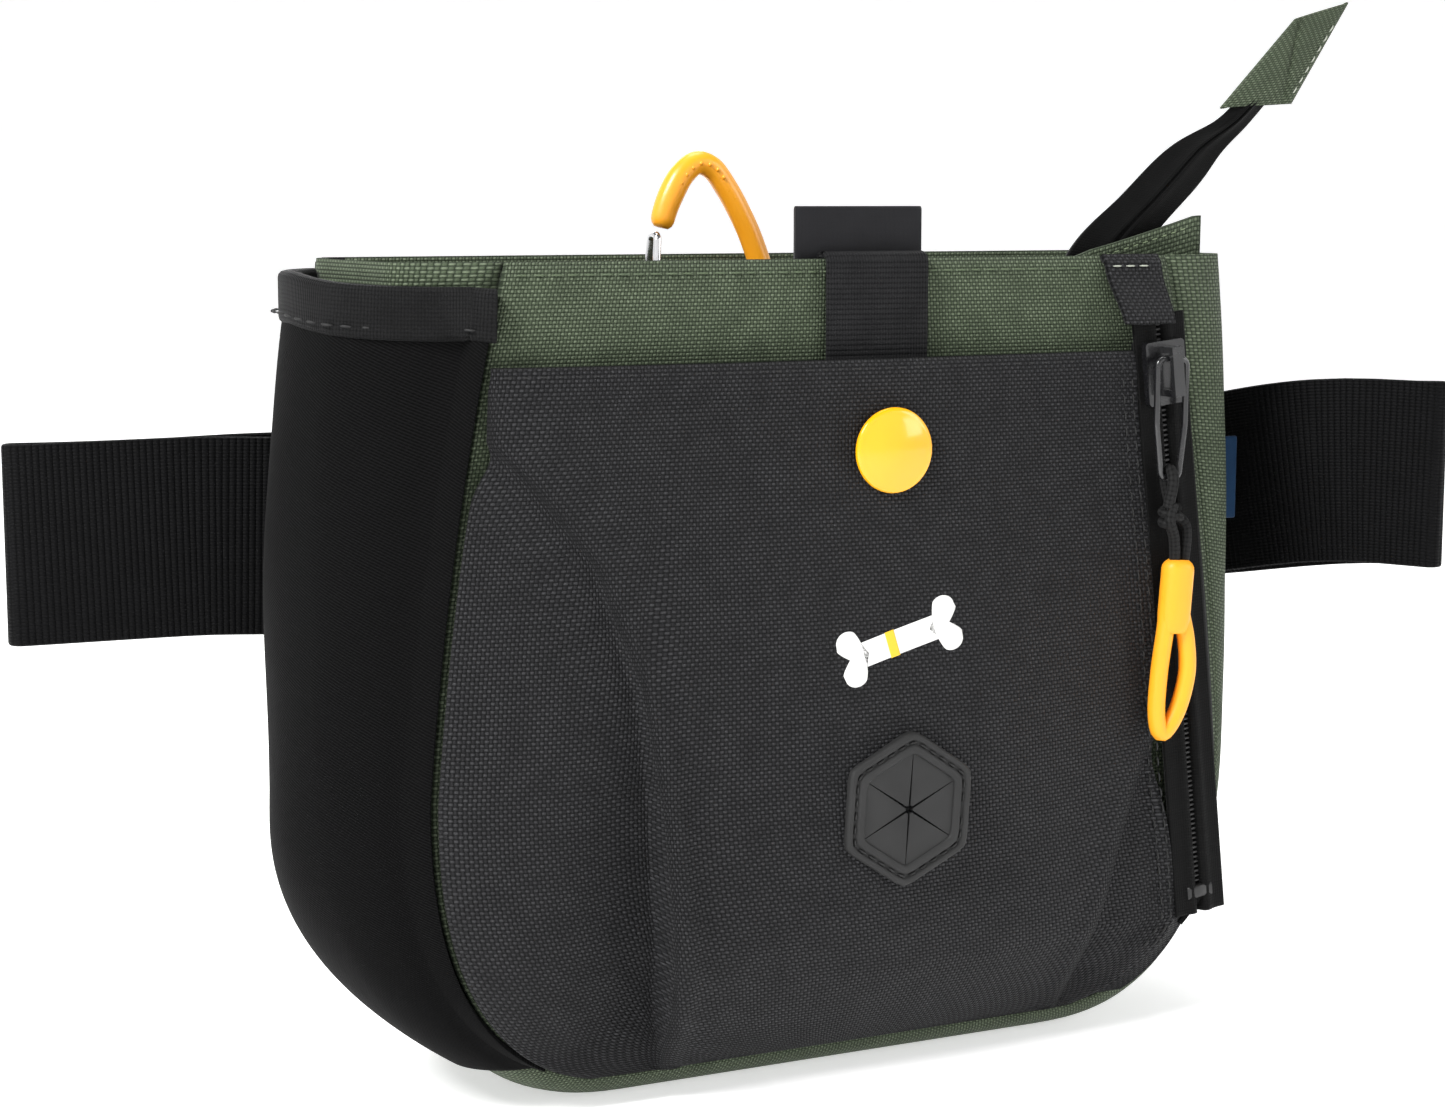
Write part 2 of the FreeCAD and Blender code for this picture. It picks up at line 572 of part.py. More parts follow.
def make_front_zip():
    """Tapes, chain, stops, slider, pull, cord and puller of the upright zip, and the cloth round it."""
    half_chain = CHAIN_WIDTH / 2
    inner = half_chain + TOUCH
    for side, name in ((-1, "zip_tape_left"), (1, "zip_tape_right")):
        x0, x1 = sorted((side * inner, side * ZIP_HALF))
        keep(name, on_zip(box(x0, x1, -TAPE_WALL / 2, TAPE_WALL / 2, 0, ZIP_LENGTH)))
    halves = [on_zip(box(x0, x1, -CHAIN_WALL / 2, CHAIN_WALL / 2, STOP_LENGTH + TOUCH, ZIP_LENGTH))
              for x0, x1 in ((-half_chain, -CHAIN_SPLIT / 2), (CHAIN_SPLIT / 2, half_chain))]
    keep("zip_chain", Part.makeCompound(halves))
    half_stop = CHAIN_WALL * 0.7
    keep("zip_bottom_stop", on_zip(box(-half_chain, half_chain, -half_stop, half_stop, 0, STOP_LENGTH)))
    body = slider_body(SLIDER_LENGTH, SLIDER_WIDTH, CHAIN_WIDTH, TAPE_WALL)
    body.translate(V(0, 0, SLIDER_REST))
    keep("zip_slider", on_zip(body))
    turn = math.radians(ZIP_ANGLE)
    hinge = SLIDER_REST + SLIDER_LENGTH * 0.32 - WIRE
    hinge_x = ZIP_FOOT_X + hinge * math.sin(turn)
    hinge_z = ZIP_FOOT_Z + hinge * math.cos(turn)
    pull = wire_pull(PULL_LENGTH, PULL_WIDTH, hinge_z, PULL_Y)
    pull.translate(V(hinge_x, 0, 0))
    keep("zip_pull", pull)
    print("zip pull hinge", round(hinge_x, 3), round(PULL_Y, 3), round(hinge_z, 3))
    low_z = hinge_z - PULL_LENGTH
    print("zip puller hinge", round(hinge_x, 3), round(PULL_Y, 3), round(low_z, 3))
    make_puller(hinge_x, low_z)
    top_y = ZIP_Y - CHAIN_WALL / 2 - TOUCH
    foot_z = ZIP_TOP_Z - COVER_LAP
    top_x = zip_x(HEIGHT) + COVER_TOP_SHIFT
    foot_x = zip_x(foot_z) + COVER_FOOT_SHIFT
    half = COVER_WIDTH / 2
    corners = [(foot_x - half, foot_z), (foot_x + half, foot_z),
               (top_x + half, HEIGHT), (top_x - half, HEIGHT)]
    cover = slab(corners, top_y - COVER_WALL, top_y)
    keep("zip_top_cover", cover)


def make_puller(x, z):
    """Cord loop through the wire pull, and the moulded puller that hangs from it at a lean."""
    y = PULL_Y
    gap = WIRE / 2 + CORD / 2 + 0.15
    grip_x = x + PULLER_SHIFT
    grip_z = z - PULLER_DROP
    half = PULLER_WIDTH / 2
    grip = box(-half, half, -2.6, 2.6, -PULLER_LENGTH * 0.42, 0)
    grip = grip.makeFillet(1.6, grip.Edges)
    low = -PULLER_LENGTH + PULLER_BAR / 2
    side = half - PULLER_BAR / 2
    wide = half + 0.8 - PULLER_BAR / 2
    strands = []
    for sign in (-1, 1):
        points = [(sign * side, 0, -PULLER_LENGTH * 0.38), (sign * side, 0, -PULLER_LENGTH * 0.49),
                  (sign * (wide + 0.6), 0, -PULLER_LENGTH * 0.70), (sign * wide, 0, low), (0, 0, low)]
        strands.append(bar(points, [6.0, 6.0, 2.0], PULLER_BAR))
    puller = grip.fuse(strands).removeSplitter()
    puller.rotate(V(0, 0, 0), V(0, 1, 0), PULLER_LEAN)
    puller.translate(V(grip_x, y, grip_z))
    keep("zip_puller", puller)
    top = z + gap
    end_z = grip_z - 3.0
    middle_z = (top + grip_z) / 2
    halves = []
    for sign in (-1, 1):
        side_y = y + sign * gap
        end_y = y + sign * CORD * 0.55
        points = [(x, y, top), (x, side_y, top), (x, side_y, middle_z), (grip_x, end_y, grip_z + 2.0),
                  (grip_x, end_y, end_z)]
        halves.append(bar(points, [gap * 0.85, 3.0, 2.4], CORD))
    loop = halves[0].fuse(halves[1]).removeSplitter()
    keep("pull_cord", loop.cut(puller))


def make_zip_border():
    """Cloth strip between the zip's right tape and the seam."""
    def section(z):
        near = zip_x(z) + ZIP_HALF + TOUCH
        far = max(half_width(FRONT_SECTION, z) - 0.5, near + 1.2)
        high = ZIP_Y - TAPE_WALL / 2
        low = FRONT_Y - TOUCH
        points = [V(near, high, z), V(far, low - BORDER_WALL, z), V(far, low, z), V(near, low, z)]
        return Part.makePolygon(points + points[:1])

    levels = [ZIP_FOOT_Z + (HEIGHT - ZIP_FOOT_Z) * share for share in (0, 0.15, 0.35, 0.57, 0.78, 1.0)]
    keep("zip_border", Part.makeLoft([section(z) for z in levels], True, True))


# ---------------------------------------------------------------- top closure
def on_tail(shape):
    """Carry a piece made along +Z about the tail's base to the tail's real place and slope."""
    moved = shape.copy()
    moved.rotate(V(0, 0, 0), V(0, 1, 0), 90 - TAIL_ANGLE)
    moved.translate(V(TAIL_BASE_X, TAIL_Y, TAIL_BASE_Z))
    return moved


def make_top_closure():
    """Plackets inside the mouth, the zip's tail past the right end, and its slider and pull."""
    y = PLACKET_FRONT_Y
    inside = half_width(SWELL_SECTION, HEIGHT) - GUSSET_WALL - 1.0
    top = HEIGHT - PLACKET_RECESS
    foot = top - PLACKET_DROP
    front = [(-inside + 3, foot), (inside - 1, foot), (inside - 1, HEIGHT + 1), (inside - 1.5, HEIGHT + 7.6),
             (inside - 26, HEIGHT + 1.2), (inside - 36, top), (-inside + 3, top)]
    keep("placket_front", slab(front, y - PLACKET_WALL / 2, y + PLACKET_WALL / 2))
    back_y = RING_BACK_Y - FACING_WALL - PLACKET_BACK_GAP
    keep("placket_back", box(-inside + 3, inside - 1, back_y - PLACKET_WALL, back_y, foot, top))
    end_y0 = y + PLACKET_WALL / 2 + TOUCH
    end_y1 = back_y - PLACKET_WALL - TOUCH
    keep("placket_end", box(inside - 1 - PLACKET_WALL, inside - 1, end_y0, end_y1, foot, HEIGHT + 1))
    tape = box(-TAIL_WIDTH / 2, TAIL_WIDTH / 2, -TAIL_WALL / 2, TAIL_WALL / 2, -TAIL_BACK, TAIL_REACH)
    chain = box(-TAIL_CHAIN / 2, TAIL_CHAIN / 2, -CHAIN_WALL / 2, CHAIN_WALL / 2, -TAIL_BACK, TAIL_REACH)
    tail = tape.fuse(chain)
    join = TAIL_REACH - END_TAB_LAP
    split = box(-CHAIN_SPLIT / 2, CHAIN_SPLIT / 2, -5, 5, -TAIL_BACK - 1, join)
    keep("zip_tail", on_tail(tail.cut(split).removeSplitter()))
    face = -TAIL_WALL / 2 - TOUCH
    depth = TAIL_Y + face - end_y0
    anchor = box(-TAIL_WIDTH / 2, -TAIL_CHAIN / 2 - 0.3, face - depth, face, -TAIL_BACK, -TAIL_BACK + 6.0)
    keep("tail_anchor", on_tail(anchor))
    half = END_TAB_WIDTH / 2
    tab = box(-half, half, -END_TAB_WALL / 2, END_TAB_WALL / 2, 0, END_TAB_LENGTH)
    tab.rotate(V(0, 0, 0), V(0, 1, 0), TAIL_ANGLE - END_TAB_ANGLE)
    tab.translate(V(0, 0, join + 0.5))
    keep("tail_end_tab", on_tail(tab.cut(tail)))
    slider = slider_body(TOP_SLIDER_LENGTH, TOP_SLIDER_WIDTH, TAIL_CHAIN, TAIL_WALL)
    slider.rotate(V(0, 0, 0), V(0, 0, 1), 180)
    slider.translate(V(0, 0, TOP_SLIDER_REST))
    keep("top_zip_slider", on_tail(slider))
    pull_y = CHAIN_WALL / 2 + ZIP_CLEARANCE + SLIDER_WALL + PULL_STANDOFF + WIRE / 2
    pull_top = TOP_SLIDER_REST + TOP_SLIDER_LENGTH * 0.32 - WIRE
    keep("top_zip_pull", on_tail(wire_pull(TOP_PULL_LENGTH, TOP_PULL_WIDTH, pull_top, pull_y)))
    a = math.radians(TAIL_ANGLE)
    print("top pull hinge", round(TAIL_BASE_X + pull_top * math.cos(a), 3), round(TAIL_Y + pull_y, 3),
          round(TAIL_BASE_Z + pull_top * math.sin(a), 3))


def make_labels():
    """Folded label standing on the rim behind the webbing tab, and a small one in the right seam."""
    y = RING_FRONT_Y + FACING_WALL + 2 * TOUCH
    x0 = CENTRE_X - LABEL_WIDTH / 2 - 1.6
    keep("rim_label", box(x0, x0 + LABEL_WIDTH, y, y + LABEL_WALL, HEIGHT - LABEL_SINK, HEIGHT + LABEL_RISE))
    y = SWELL_FRONT_Y - 1.0
    z0 = SIDE_LABEL_Z - SIDE_LABEL_HEIGHT / 2
    x0 = max(gusset_outside(y + 1.5, z) for z in (z0, z0 + SIDE_LABEL_HEIGHT)) + 0.25
    keep("side_label", box(x0, x0 + SIDE_LABEL_REACH, y, y + 1.2, z0, z0 + SIDE_LABEL_HEIGHT))


# ---------------------------------------------------------------- carabiner
def make_carabiner():
    """Bent-bar carabiner with a wire gate, and the webbing loop that holds it to the back."""
    y = CARABINER_Y
    rim = HEIGHT
    body = [(-24.2, y, rim + 5.2), (-22.4, y, rim + 14.0), (-15.4, y, rim + 19.6), (-8.6, y, rim + 13.2),
            (-1.6, y, rim - 3.0), (1.6, y, rim - 22.0), (-5.0, y, rim - 27.6), (-21.0, y, rim - 27.0),
            (-26.6, y, rim - 19.5)]
    radii = [4.5, 5.2, 14.0, 40.0, 5.0, 6.5, 5.0]
    hinge_x, hinge_z = body[-1][0], body[-1][2] - GATE_WIRE
    ring = bar(body, radii, CARABINER_BAR)
    keep("carabiner", ring.cut(rod_y(hinge_x, hinge_z, GATE_WIRE + 0.2, y - 10, y + 10)))
    nose_x = body[0][0]
    high = body[0][2] - GATE_WIRE / 2 - 0.5
    wide = CARABINER_BAR / 2 + GATE_WIRE / 2 + 0.35
    lean = (nose_x - hinge_x) / (high - hinge_z)
    shoulder = hinge_z + 7.0
    runs = []
    for sign in (-1, 1):
        points = [(hinge_x, y, hinge_z), (hinge_x, y + sign * wide, hinge_z),
                  (hinge_x + lean * 7.0, y + sign * wide * 0.9, shoulder),
                  (nose_x, y + sign * 1.4, high), (nose_x, y, high)]
        runs.append(bar(points, [1.2, 6.0, 1.2], GATE_WIRE))
    keep("carabiner_gate", runs[0].fuse(runs[1]).removeSplitter())
    print("gate hinge", round(hinge_x, 3), y, round(hinge_z, 3))
    low_z = (body[6][2] + body[7][2]) / 2
    low_x = (body[6][0] + body[7][0]) / 2
    print("carabiner hinge", low_x, y, low_z)
    clear = CARABINER_BAR / 2 + 0.5
    x0, x1 = low_x - ANCHOR_WIDTH / 2, low_x + ANCHOR_WIDTH / 2
    outer = Part.makeCylinder(clear + ANCHOR_WALL, ANCHOR_WIDTH, V(x0, y, low_z), V(1, 0, 0))
    inner = Part.makeCylinder(clear, ANCHOR_WIDTH + 2, V(x0 - 1, y, low_z), V(1, 0, 0))
    wall_y = RING_BACK_Y - TOUCH
    strap = box(x0, x1, y, wall_y, low_z - clear - ANCHOR_WALL, low_z - clear)
    pad = box(x0, x1, wall_y - ANCHOR_WALL, wall_y, low_z - clear - 12.0, low_z - clear)
    loop = outer.fuse(strap).fuse(pad).cut(inner).removeSplitter()
    keep("carabiner_anchor", loop)


# ---------------------------------------------------------------- waist belt
def make_belt():
    """One length of webbing looped out past both sides, its sleeve, keeper and three-bar slider."""
    z0, z1 = BELT_Z - BELT_HEIGHT / 2, BELT_Z + BELT_HEIGHT / 2
    front, rear = BELT_FRONT_Y, BELT_REAR_Y
    side = SIDE_MAX_HALF + SIDE_BULGE_BACK
    half = LOOP_GAP / 2
    path = [(SOCKET_X + 1.2, BUCKLE_MID_Y), (-side - 2.0, BUCKLE_MID_Y - 0.4), (-side - 51.5, front + 14.8),
            (-side - 52.5, front + 14.8 - LOOP_GAP), (-side, front),
            (side + 8.0, front), (side + 11.5, front - 36.3), (side + 34.0, front - 69.3),
            (side + 37.7, front - 66.9), (side + 16.2, front - 34.8), (side + 14.5, rear),
            (BUCKLE_CLEARANCE + 3.0, rear)]
    turn = half * 0.96
    radii = [60.0, turn, turn, 60.0, 9.0, 60.0, turn, turn, 60.0, 12.0]
    keep("belt_webbing", band(path, radii, BELT_WALL, z0, z1))
    half = SLEEVE_HALF
    y = SLEEVE_Y
    top, low = z1 + SLEEVE_MARGIN, z0 - SLEEVE_MARGIN
    sleeve = box(-half, half, BACK_Y + TOUCH, y + SLEEVE_WALL, low, top)
    tunnel = box(-half - 1, half + 1, BACK_Y - 1, y, z0 - BELT_CLEARANCE, z1 + BELT_CLEARANCE)
    keep("belt_sleeve", sleeve.cut(tunnel))
    reach = BELT_WALL / 2 + BELT_CLEARANCE
    x0, x1 = KEEPER_X - KEEPER_WIDTH / 2, KEEPER_X + KEEPER_WIDTH / 2
    y = BUCKLE_MID_Y
    low, top = z0 - BELT_CLEARANCE, z1 + BELT_CLEARANCE
    ring = box(x0, x1, y - reach - 1.0, y + reach + 1.0, low - 1.0, top + 1.0)
    keep("belt_keeper", ring.cut(box(x0 - 1, x1 + 1, y - reach, y + reach, low, top)))
    glide(z0, z1)


def glide(z0, z1):
    """Three-bar slider: the outer bars lie behind the webbing and the middle bar in front of it."""
    rear = BELT_REAR_Y
    gap = BELT_WALL / 2 + BELT_CLEARANCE
    x0, x1 = GLIDE_X - GLIDE_LENGTH / 2, GLIDE_X + GLIDE_LENGTH / 2
    low, high = z0 - BELT_CLEARANCE - GLIDE_BAR, z1 + BELT_CLEARANCE + GLIDE_BAR
    back, face = rear + gap + GLIDE_WALL, rear - gap - GLIDE_WALL
    rails = [box(x0, x1, face, back, a, a + GLIDE_BAR) for a in (low, high - GLIDE_BAR)]
    middle = GLIDE_X - GLIDE_BAR / 2
    bars = [box(x0, x0 + GLIDE_BAR, rear + gap, back, low, high),
            box(x1 - GLIDE_BAR, x1, rear + gap, back, low, high),
            box(middle, middle + GLIDE_BAR, face, rear - gap, low, high)]
    keep("belt_slider", rails[0].fuse(rails[1:] + bars).removeSplitter())


def make_buckle():
    """Side-release buckle for the belt: socket, plug and two prongs that squeeze inwards."""
    half = BUCKLE_HEIGHT / 2
    y0, y1 = BUCKLE_Y, BUCKLE_Y + BUCKLE_DEPTH
    x0 = SOCKET_X
    mouth = x0 + SOCKET_LENGTH
    z = BELT_Z
    shell = box(x0, mouth, y0, y1, z - half, z + half)
    shell = shell.makeFillet(2.2, [e for e in shell.Edges if abs(e.tangentAt(e.FirstParameter).x) > 0.9])
    wall = BUCKLE_WALL
    deep = mouth - PLUG_INSERT - BUCKLE_CLEARANCE
    cavity = box(deep, mouth + 1, y0 + wall, y1 - wall, z - half + 3.0, z + half - 3.0)
    windows = box(deep, mouth - 7.0, y0 + wall, y1 - wall, z - half - 1, z + half + 1)
    strap = BELT_HEIGHT / 2
    strap_gap = box(x0 + SOCKET_BAR - 3.0, deep - 2.2, y0 - 1, y1 + 1, z - strap - 1, z + strap + 1)
    slot_y = BELT_WALL / 2 + 0.3
    middle = BUCKLE_MID_Y
    entry = box(x0 - 1, x0 + 3.5, middle - slot_y, middle + slot_y, z - strap - 0.5, z + strap + 0.5)
    socket = shell.cut(cavity).cut(windows).cut(strap_gap).cut(entry)
    keep("buckle_socket", socket)
    make_plug(mouth, z, y0 + wall + BUCKLE_CLEARANCE, y1 - wall - BUCKLE_CLEARANCE)


def make_plug(mouth, z, y0, y1):
    """Plug half: base with the webbing slot, a guide in the middle, and the two prongs."""
    half = BUCKLE_HEIGHT / 2
    base_x = mouth + BUCKLE_CLEARANCE
    end = base_x + PLUG_BASE + PLUG_SLOT + 4.0
    base = box(base_x, end, BUCKLE_Y, BUCKLE_Y + BUCKLE_DEPTH, z - half, z + half)
    base = base.makeFillet(2.2, [e for e in base.Edges if abs(e.tangentAt(e.FirstParameter).x) > 0.9])
    strap = BELT_HEIGHT / 2 + BELT_CLEARANCE
    bed = BELT_REAR_Y + BELT_WALL / 2 + BELT_CLEARANCE
    channel = box(base_x - 1, end + 1, BUCKLE_Y - 1, bed, z - strap, z + strap)
    slot_x = base_x + PLUG_BASE
    window = box(slot_x, slot_x + PLUG_SLOT, BUCKLE_Y - 1, BUCKLE_Y + BUCKLE_DEPTH + 1, z - strap, z + strap)
    keeper_y = BELT_REAR_Y - BELT_WALL / 2 - BELT_CLEARANCE
    keeper = box(end - 4.0, end, keeper_y - PLUG_KEEPER, keeper_y, z - half + 2.2, z + half - 2.2)
    ears = [box(end - 4.0, end, keeper_y - PLUG_KEEPER, BUCKLE_Y + 2.0, a, a + 2.4)
            for a in (z - strap - 2.4, z + strap)]
    guide = box(base_x - PLUG_INSERT + BUCKLE_CLEARANCE, base_x + 1, y0, y1, z - 5.5, z + 5.5)
    root = half - 3.0 - BUCKLE_CLEARANCE
    plug = base.cut(channel).cut(window).fuse([guide, keeper] + ears)
    hinge_x = base_x + 1.2
    for sign, name in ((1, "buckle_prong_upper"), (-1, "buckle_prong_lower")):
        outer = z + sign * root
        inner = outer - sign * PRONG_WIDTH
        middle = (outer + inner) / 2
        z_low, z_high = sorted((outer + sign * 0.6, inner - sign * 0.6))
        plug = plug.cut(box(base_x - 1, base_x + 3.8, y0 - 0.3, y1 + 0.3, z_low, z_high))
        arm_x = base_x - 8.0
        tip = base_x - PLUG_INSERT + BUCKLE_CLEARANCE + 1.0
        points = [(hinge_x, outer - sign * 0.6), (hinge_x, inner + sign * 0.6), (arm_x, inner + sign * 0.5),
                  (tip, inner), (tip, outer - sign * 2.2), (tip + 7.0, outer), (arm_x, outer - sign * 0.4)]
        knuckle = rod_y(hinge_x, middle, PRONG_WIDTH - 1.2, y0 + 0.2, y1 - 0.2)
        keep(name, slab(points, y0 + 0.2, y1 - 0.2).fuse(knuckle).removeSplitter())
        print(name, "hinge", round(hinge_x, 3), round(BUCKLE_MID_Y, 3), round(middle, 3))
    keep("buckle_plug", plug.removeSplitter())


os.makedirs("parts", exist_ok=True)
make_shell()
make_front_pocket()
make_stud()
make_port()
make_stretch_pocket()
make_front_zip()
make_zip_border()
make_top_closure()
make_labels()
make_carabiner()
make_belt()
make_buckle()
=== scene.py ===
# %% [markdown]
# # Treat pouch
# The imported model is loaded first, and every piece below is built around it. Its box says how large
# the pouch may be: cloth may stand a few millimetres proud of it, and nothing more.

import math

import bpy
import numpy as np
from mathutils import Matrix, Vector


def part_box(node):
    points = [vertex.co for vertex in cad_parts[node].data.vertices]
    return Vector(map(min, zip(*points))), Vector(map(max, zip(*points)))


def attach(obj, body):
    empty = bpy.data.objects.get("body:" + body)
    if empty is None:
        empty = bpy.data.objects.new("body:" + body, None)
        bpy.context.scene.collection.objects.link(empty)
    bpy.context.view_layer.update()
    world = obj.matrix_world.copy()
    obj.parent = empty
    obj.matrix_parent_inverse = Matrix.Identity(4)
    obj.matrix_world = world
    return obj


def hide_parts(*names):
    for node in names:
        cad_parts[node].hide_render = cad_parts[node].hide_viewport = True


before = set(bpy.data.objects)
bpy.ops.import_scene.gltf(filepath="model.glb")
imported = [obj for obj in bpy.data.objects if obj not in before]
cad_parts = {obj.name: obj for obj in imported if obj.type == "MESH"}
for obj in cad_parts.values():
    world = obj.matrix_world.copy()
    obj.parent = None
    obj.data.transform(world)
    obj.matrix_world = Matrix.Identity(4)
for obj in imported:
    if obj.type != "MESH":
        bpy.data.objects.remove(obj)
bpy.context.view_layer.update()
MM = 0.001

# %% [markdown]
# ## Places that the pieces share
# A sewn bag is all curved cloth, so most pieces need to know where the bag's own surface is. The
# numbers here are the bag's pattern: half widths, heights and depths in millimetres. The ends come
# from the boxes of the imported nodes, so the cloth lies where the solids do.

# %% Pattern sizes, in millimetres
def node_box(name):
    """A node's lowest and highest corners in millimetres."""
    low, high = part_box(name)
    return np.array(low) / MM, np.array(high) / MM


HEIGHT = node_box("front_panel")[1][2]
FRONT_Y = node_box("front_panel")[0][1]
BACK_Y = node_box("back_panel")[1][1]
SEAM_LIFT = node_box("front_panel")[0][2]
BELLY_Z = 60.0
FRONT_TOP_HALF, FRONT_MAX_HALF = 69.5, 84.6
SIDE_TOP_HALF, SIDE_MAX_HALF = 88.0, 90.0
SIDE_BULGE_BACK = 2.0
BACK_TOP_HALF, BACK_MAX_HALF = 87.0, 89.0
BACK_SEAM_LIFT = 4.0
FLAT_HALF = 45.0
CORNER_POWER = 2.47
CENTRE_X = 3.6
print("rim height", round(HEIGHT, 1), "front face at y", round(FRONT_Y, 1), "back face at y",
      round(BACK_Y, 1))

# %% The bag's outline
def side_half(top_half, max_half, z):
    """Half width of an upright side at height z: a shallow bow from the rim down to the belly."""
    share = np.clip((z - BELLY_Z) / (HEIGHT - BELLY_Z), 0.0, 1.0)
    return max_half + (top_half - max_half) * share + 1.9 * 4 * share * (1 - share)


def outline(top_half, max_half, foot, s):
    """Points along an open outline, s from 0 at the left rim to 1 at the right rim.

    The side runs down to the belly, a superellipse |x|^n + |z|^n = 1 turns the corner, and the
    bottom is straight. s is spent on the three in proportion to their lengths."""
    s = np.asarray(s, float)
    u = np.abs(s - 0.5) * 2
    sign = np.where(s < 0.5, -1.0, 1.0)
    corner = np.hypot(max_half - FLAT_HALF, BELLY_Z - foot) * 1.15
    lengths = np.array([FLAT_HALF, corner, HEIGHT - BELLY_Z])
    ends = np.concatenate([[0], np.cumsum(lengths) / lengths.sum()])
    flat = np.clip(u / ends[1], 0, 1)
    turn = np.clip((u - ends[1]) / (ends[2] - ends[1]), 0, 1)
    rise = np.clip((u - ends[2]) / (1 - ends[2]), 0, 1)
    angle = turn * math.pi / 2
    power = 2 / CORNER_POWER
    across = FLAT_HALF + (max_half - FLAT_HALF) * np.sin(angle) ** power
    up = BELLY_Z - (BELLY_Z - foot) * np.cos(angle).clip(0) ** power
    z = np.where(u < ends[1], foot, np.where(u < ends[2], up, BELLY_Z + (HEIGHT - BELLY_Z) * rise))
    x = np.where(u < ends[1], FLAT_HALF * flat,
                 np.where(u < ends[2], across, side_half(top_half, max_half, z)))
    return sign * x, z


def half_at(top_half, max_half, foot, z):
    """Half width of the same outline at height z, from the superellipse below the belly."""
    z = np.asarray(z, float)
    drop = np.clip((BELLY_Z - z) / (BELLY_Z - foot), 0, 1)
    across = (1 - drop ** CORNER_POWER).clip(0) ** (1 / CORNER_POWER)
    low = FLAT_HALF + (max_half - FLAT_HALF) * across
    return np.where(z < BELLY_Z, low, side_half(top_half, max_half, z))


def front_half(z):
    """Half width of the front panel at height z."""
    return half_at(FRONT_TOP_HALF, FRONT_MAX_HALF, SEAM_LIFT, z)


print("front half width at rim, belly and z 20:",
      *(round(float(front_half(z)), 1) for z in (HEIGHT, BELLY_Z, 20)))

# %% [markdown]
# ## Mesh helpers
# Every cloth piece is a surface over two parameters. It is worked out as one array of points, and a
# UV map in metres goes with it, so that a weave has the same thread size on every piece. Solidify
# gives the sheet its thickness.

# %% From arrays to meshes
def smooth(t):
    """3t^2 - 2t^3, clamped to 0..1."""
    t = np.clip(t, 0.0, 1.0)
    return t * t * (3 - 2 * t)


def add_mesh(name, points, faces, uv=None):
    """Object from an array of points in millimetres and an array of faces; uv is one pair per point."""
    mesh = bpy.data.meshes.new(name)
    faces = faces.tolist() if isinstance(faces, np.ndarray) else faces
    mesh.from_pydata((np.asarray(points, float) * MM).tolist(), [], faces)
    if uv is not None:
        layer = mesh.uv_layers.new(name="UVMap")
        corner = np.zeros(len(mesh.loops), np.int32)
        mesh.loops.foreach_get("vertex_index", corner)
        layer.data.foreach_set("uv", (np.asarray(uv, float)[corner] * MM).ravel())
    mesh.polygons.foreach_set("use_smooth", [True] * len(mesh.polygons))
    mesh.update()
    obj = bpy.data.objects.new(name, mesh)
    bpy.context.scene.collection.objects.link(obj)
    return obj


def grid_faces(rows, columns, wrap_rows=False, wrap_columns=False):
    """Quads of a rows x columns grid of points, optionally closed either way."""
    i = np.arange(rows if wrap_rows else rows - 1)[:, None]
    j = np.arange(columns if wrap_columns else columns - 1)[None, :]
    i2, j2 = (i + 1) % rows, (j + 1) % columns
    quads = [i * columns + j, i * columns + j2, i2 * columns + j2, i2 * columns + j]
    return np.stack([np.broadcast_to(q, (i.size, j.size)) for q in quads], -1).reshape(-1, 4)


def arc_lengths(points, axis):
    """Mean running length along one direction of a grid of points."""
    steps = np.linalg.norm(np.diff(points, axis=axis), axis=-1).mean(axis=1 - axis)
    return np.concatenate([[0], np.cumsum(steps)])


def sheet_piece(name, points, flip=False, **wrap):
    """A cloth sheet from a (rows, columns, 3) grid, with UVs that run with the cloth's own length."""
    rows, columns = points.shape[:2]
    faces = grid_faces(rows, columns, **wrap)
    if flip:
        faces = faces[:, ::-1]
    v, u = np.meshgrid(arc_lengths(points, 0), arc_lengths(points, 1), indexing="ij")
    return add_mesh(name, points.reshape(-1, 3), faces, np.stack([u, v], -1).reshape(-1, 2))


def thicken(obj, wall, offset=-1.0, inside=0):
    """Live Solidify: wall in millimetres, inwards from the sheet unless offset says otherwise."""
    solid = obj.modifiers.new("Wall", "SOLIDIFY")
    solid.thickness = wall * MM
    solid.offset = offset
    solid.use_even_offset = True
    solid.material_offset = inside
    return obj


def finish_piece(obj, body, slot, material, *nodes, lining=None):
    """Material, body and the nodes that a piece stands for, in one call; slot is not used."""
    obj.data.materials.append(material)
    if lining is not None:
        obj.data.materials.append(lining)
    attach(obj, body)
    if nodes:
        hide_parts(*nodes)
    print(obj.name, len(obj.data.polygons), "faces")
    return obj


# %% Tubes and bars along a path
def spline(points, count, closed=False):
    """Catmull-Rom curve through points, sampled at count even steps of its own length."""
    p = np.asarray(points, float)
    ends = (p[-1:], p[:1], p[1:2]) if closed else (2 * p[:1] - p[1:2], 2 * p[-1:] - p[-2:-1], None)
    q = np.concatenate([ends[0], p, ends[1]] + ([ends[2]] if closed else []))
    spans = len(q) - 3
    t = np.linspace(0, spans, spans * 24 + 1)[:, None]
    k = np.minimum(t[:, 0].astype(int), spans - 1)
    f = t - k[:, None]
    a, b, c, d = q[k], q[k + 1], q[k + 2], q[k + 3]
    bend = (2 * a - 5 * b + 4 * c - d) * f ** 2
    line = 0.5 * (2 * b + (c - a) * f + bend + (3 * b - a - 3 * c + d) * f ** 3)
    length = np.concatenate([[0], np.cumsum(np.linalg.norm(np.diff(line, axis=0), axis=1))])
    at = np.linspace(0, length[-1], count, endpoint=not closed)
    return np.stack([np.interp(at, length, line[:, i]) for i in range(3)], -1)


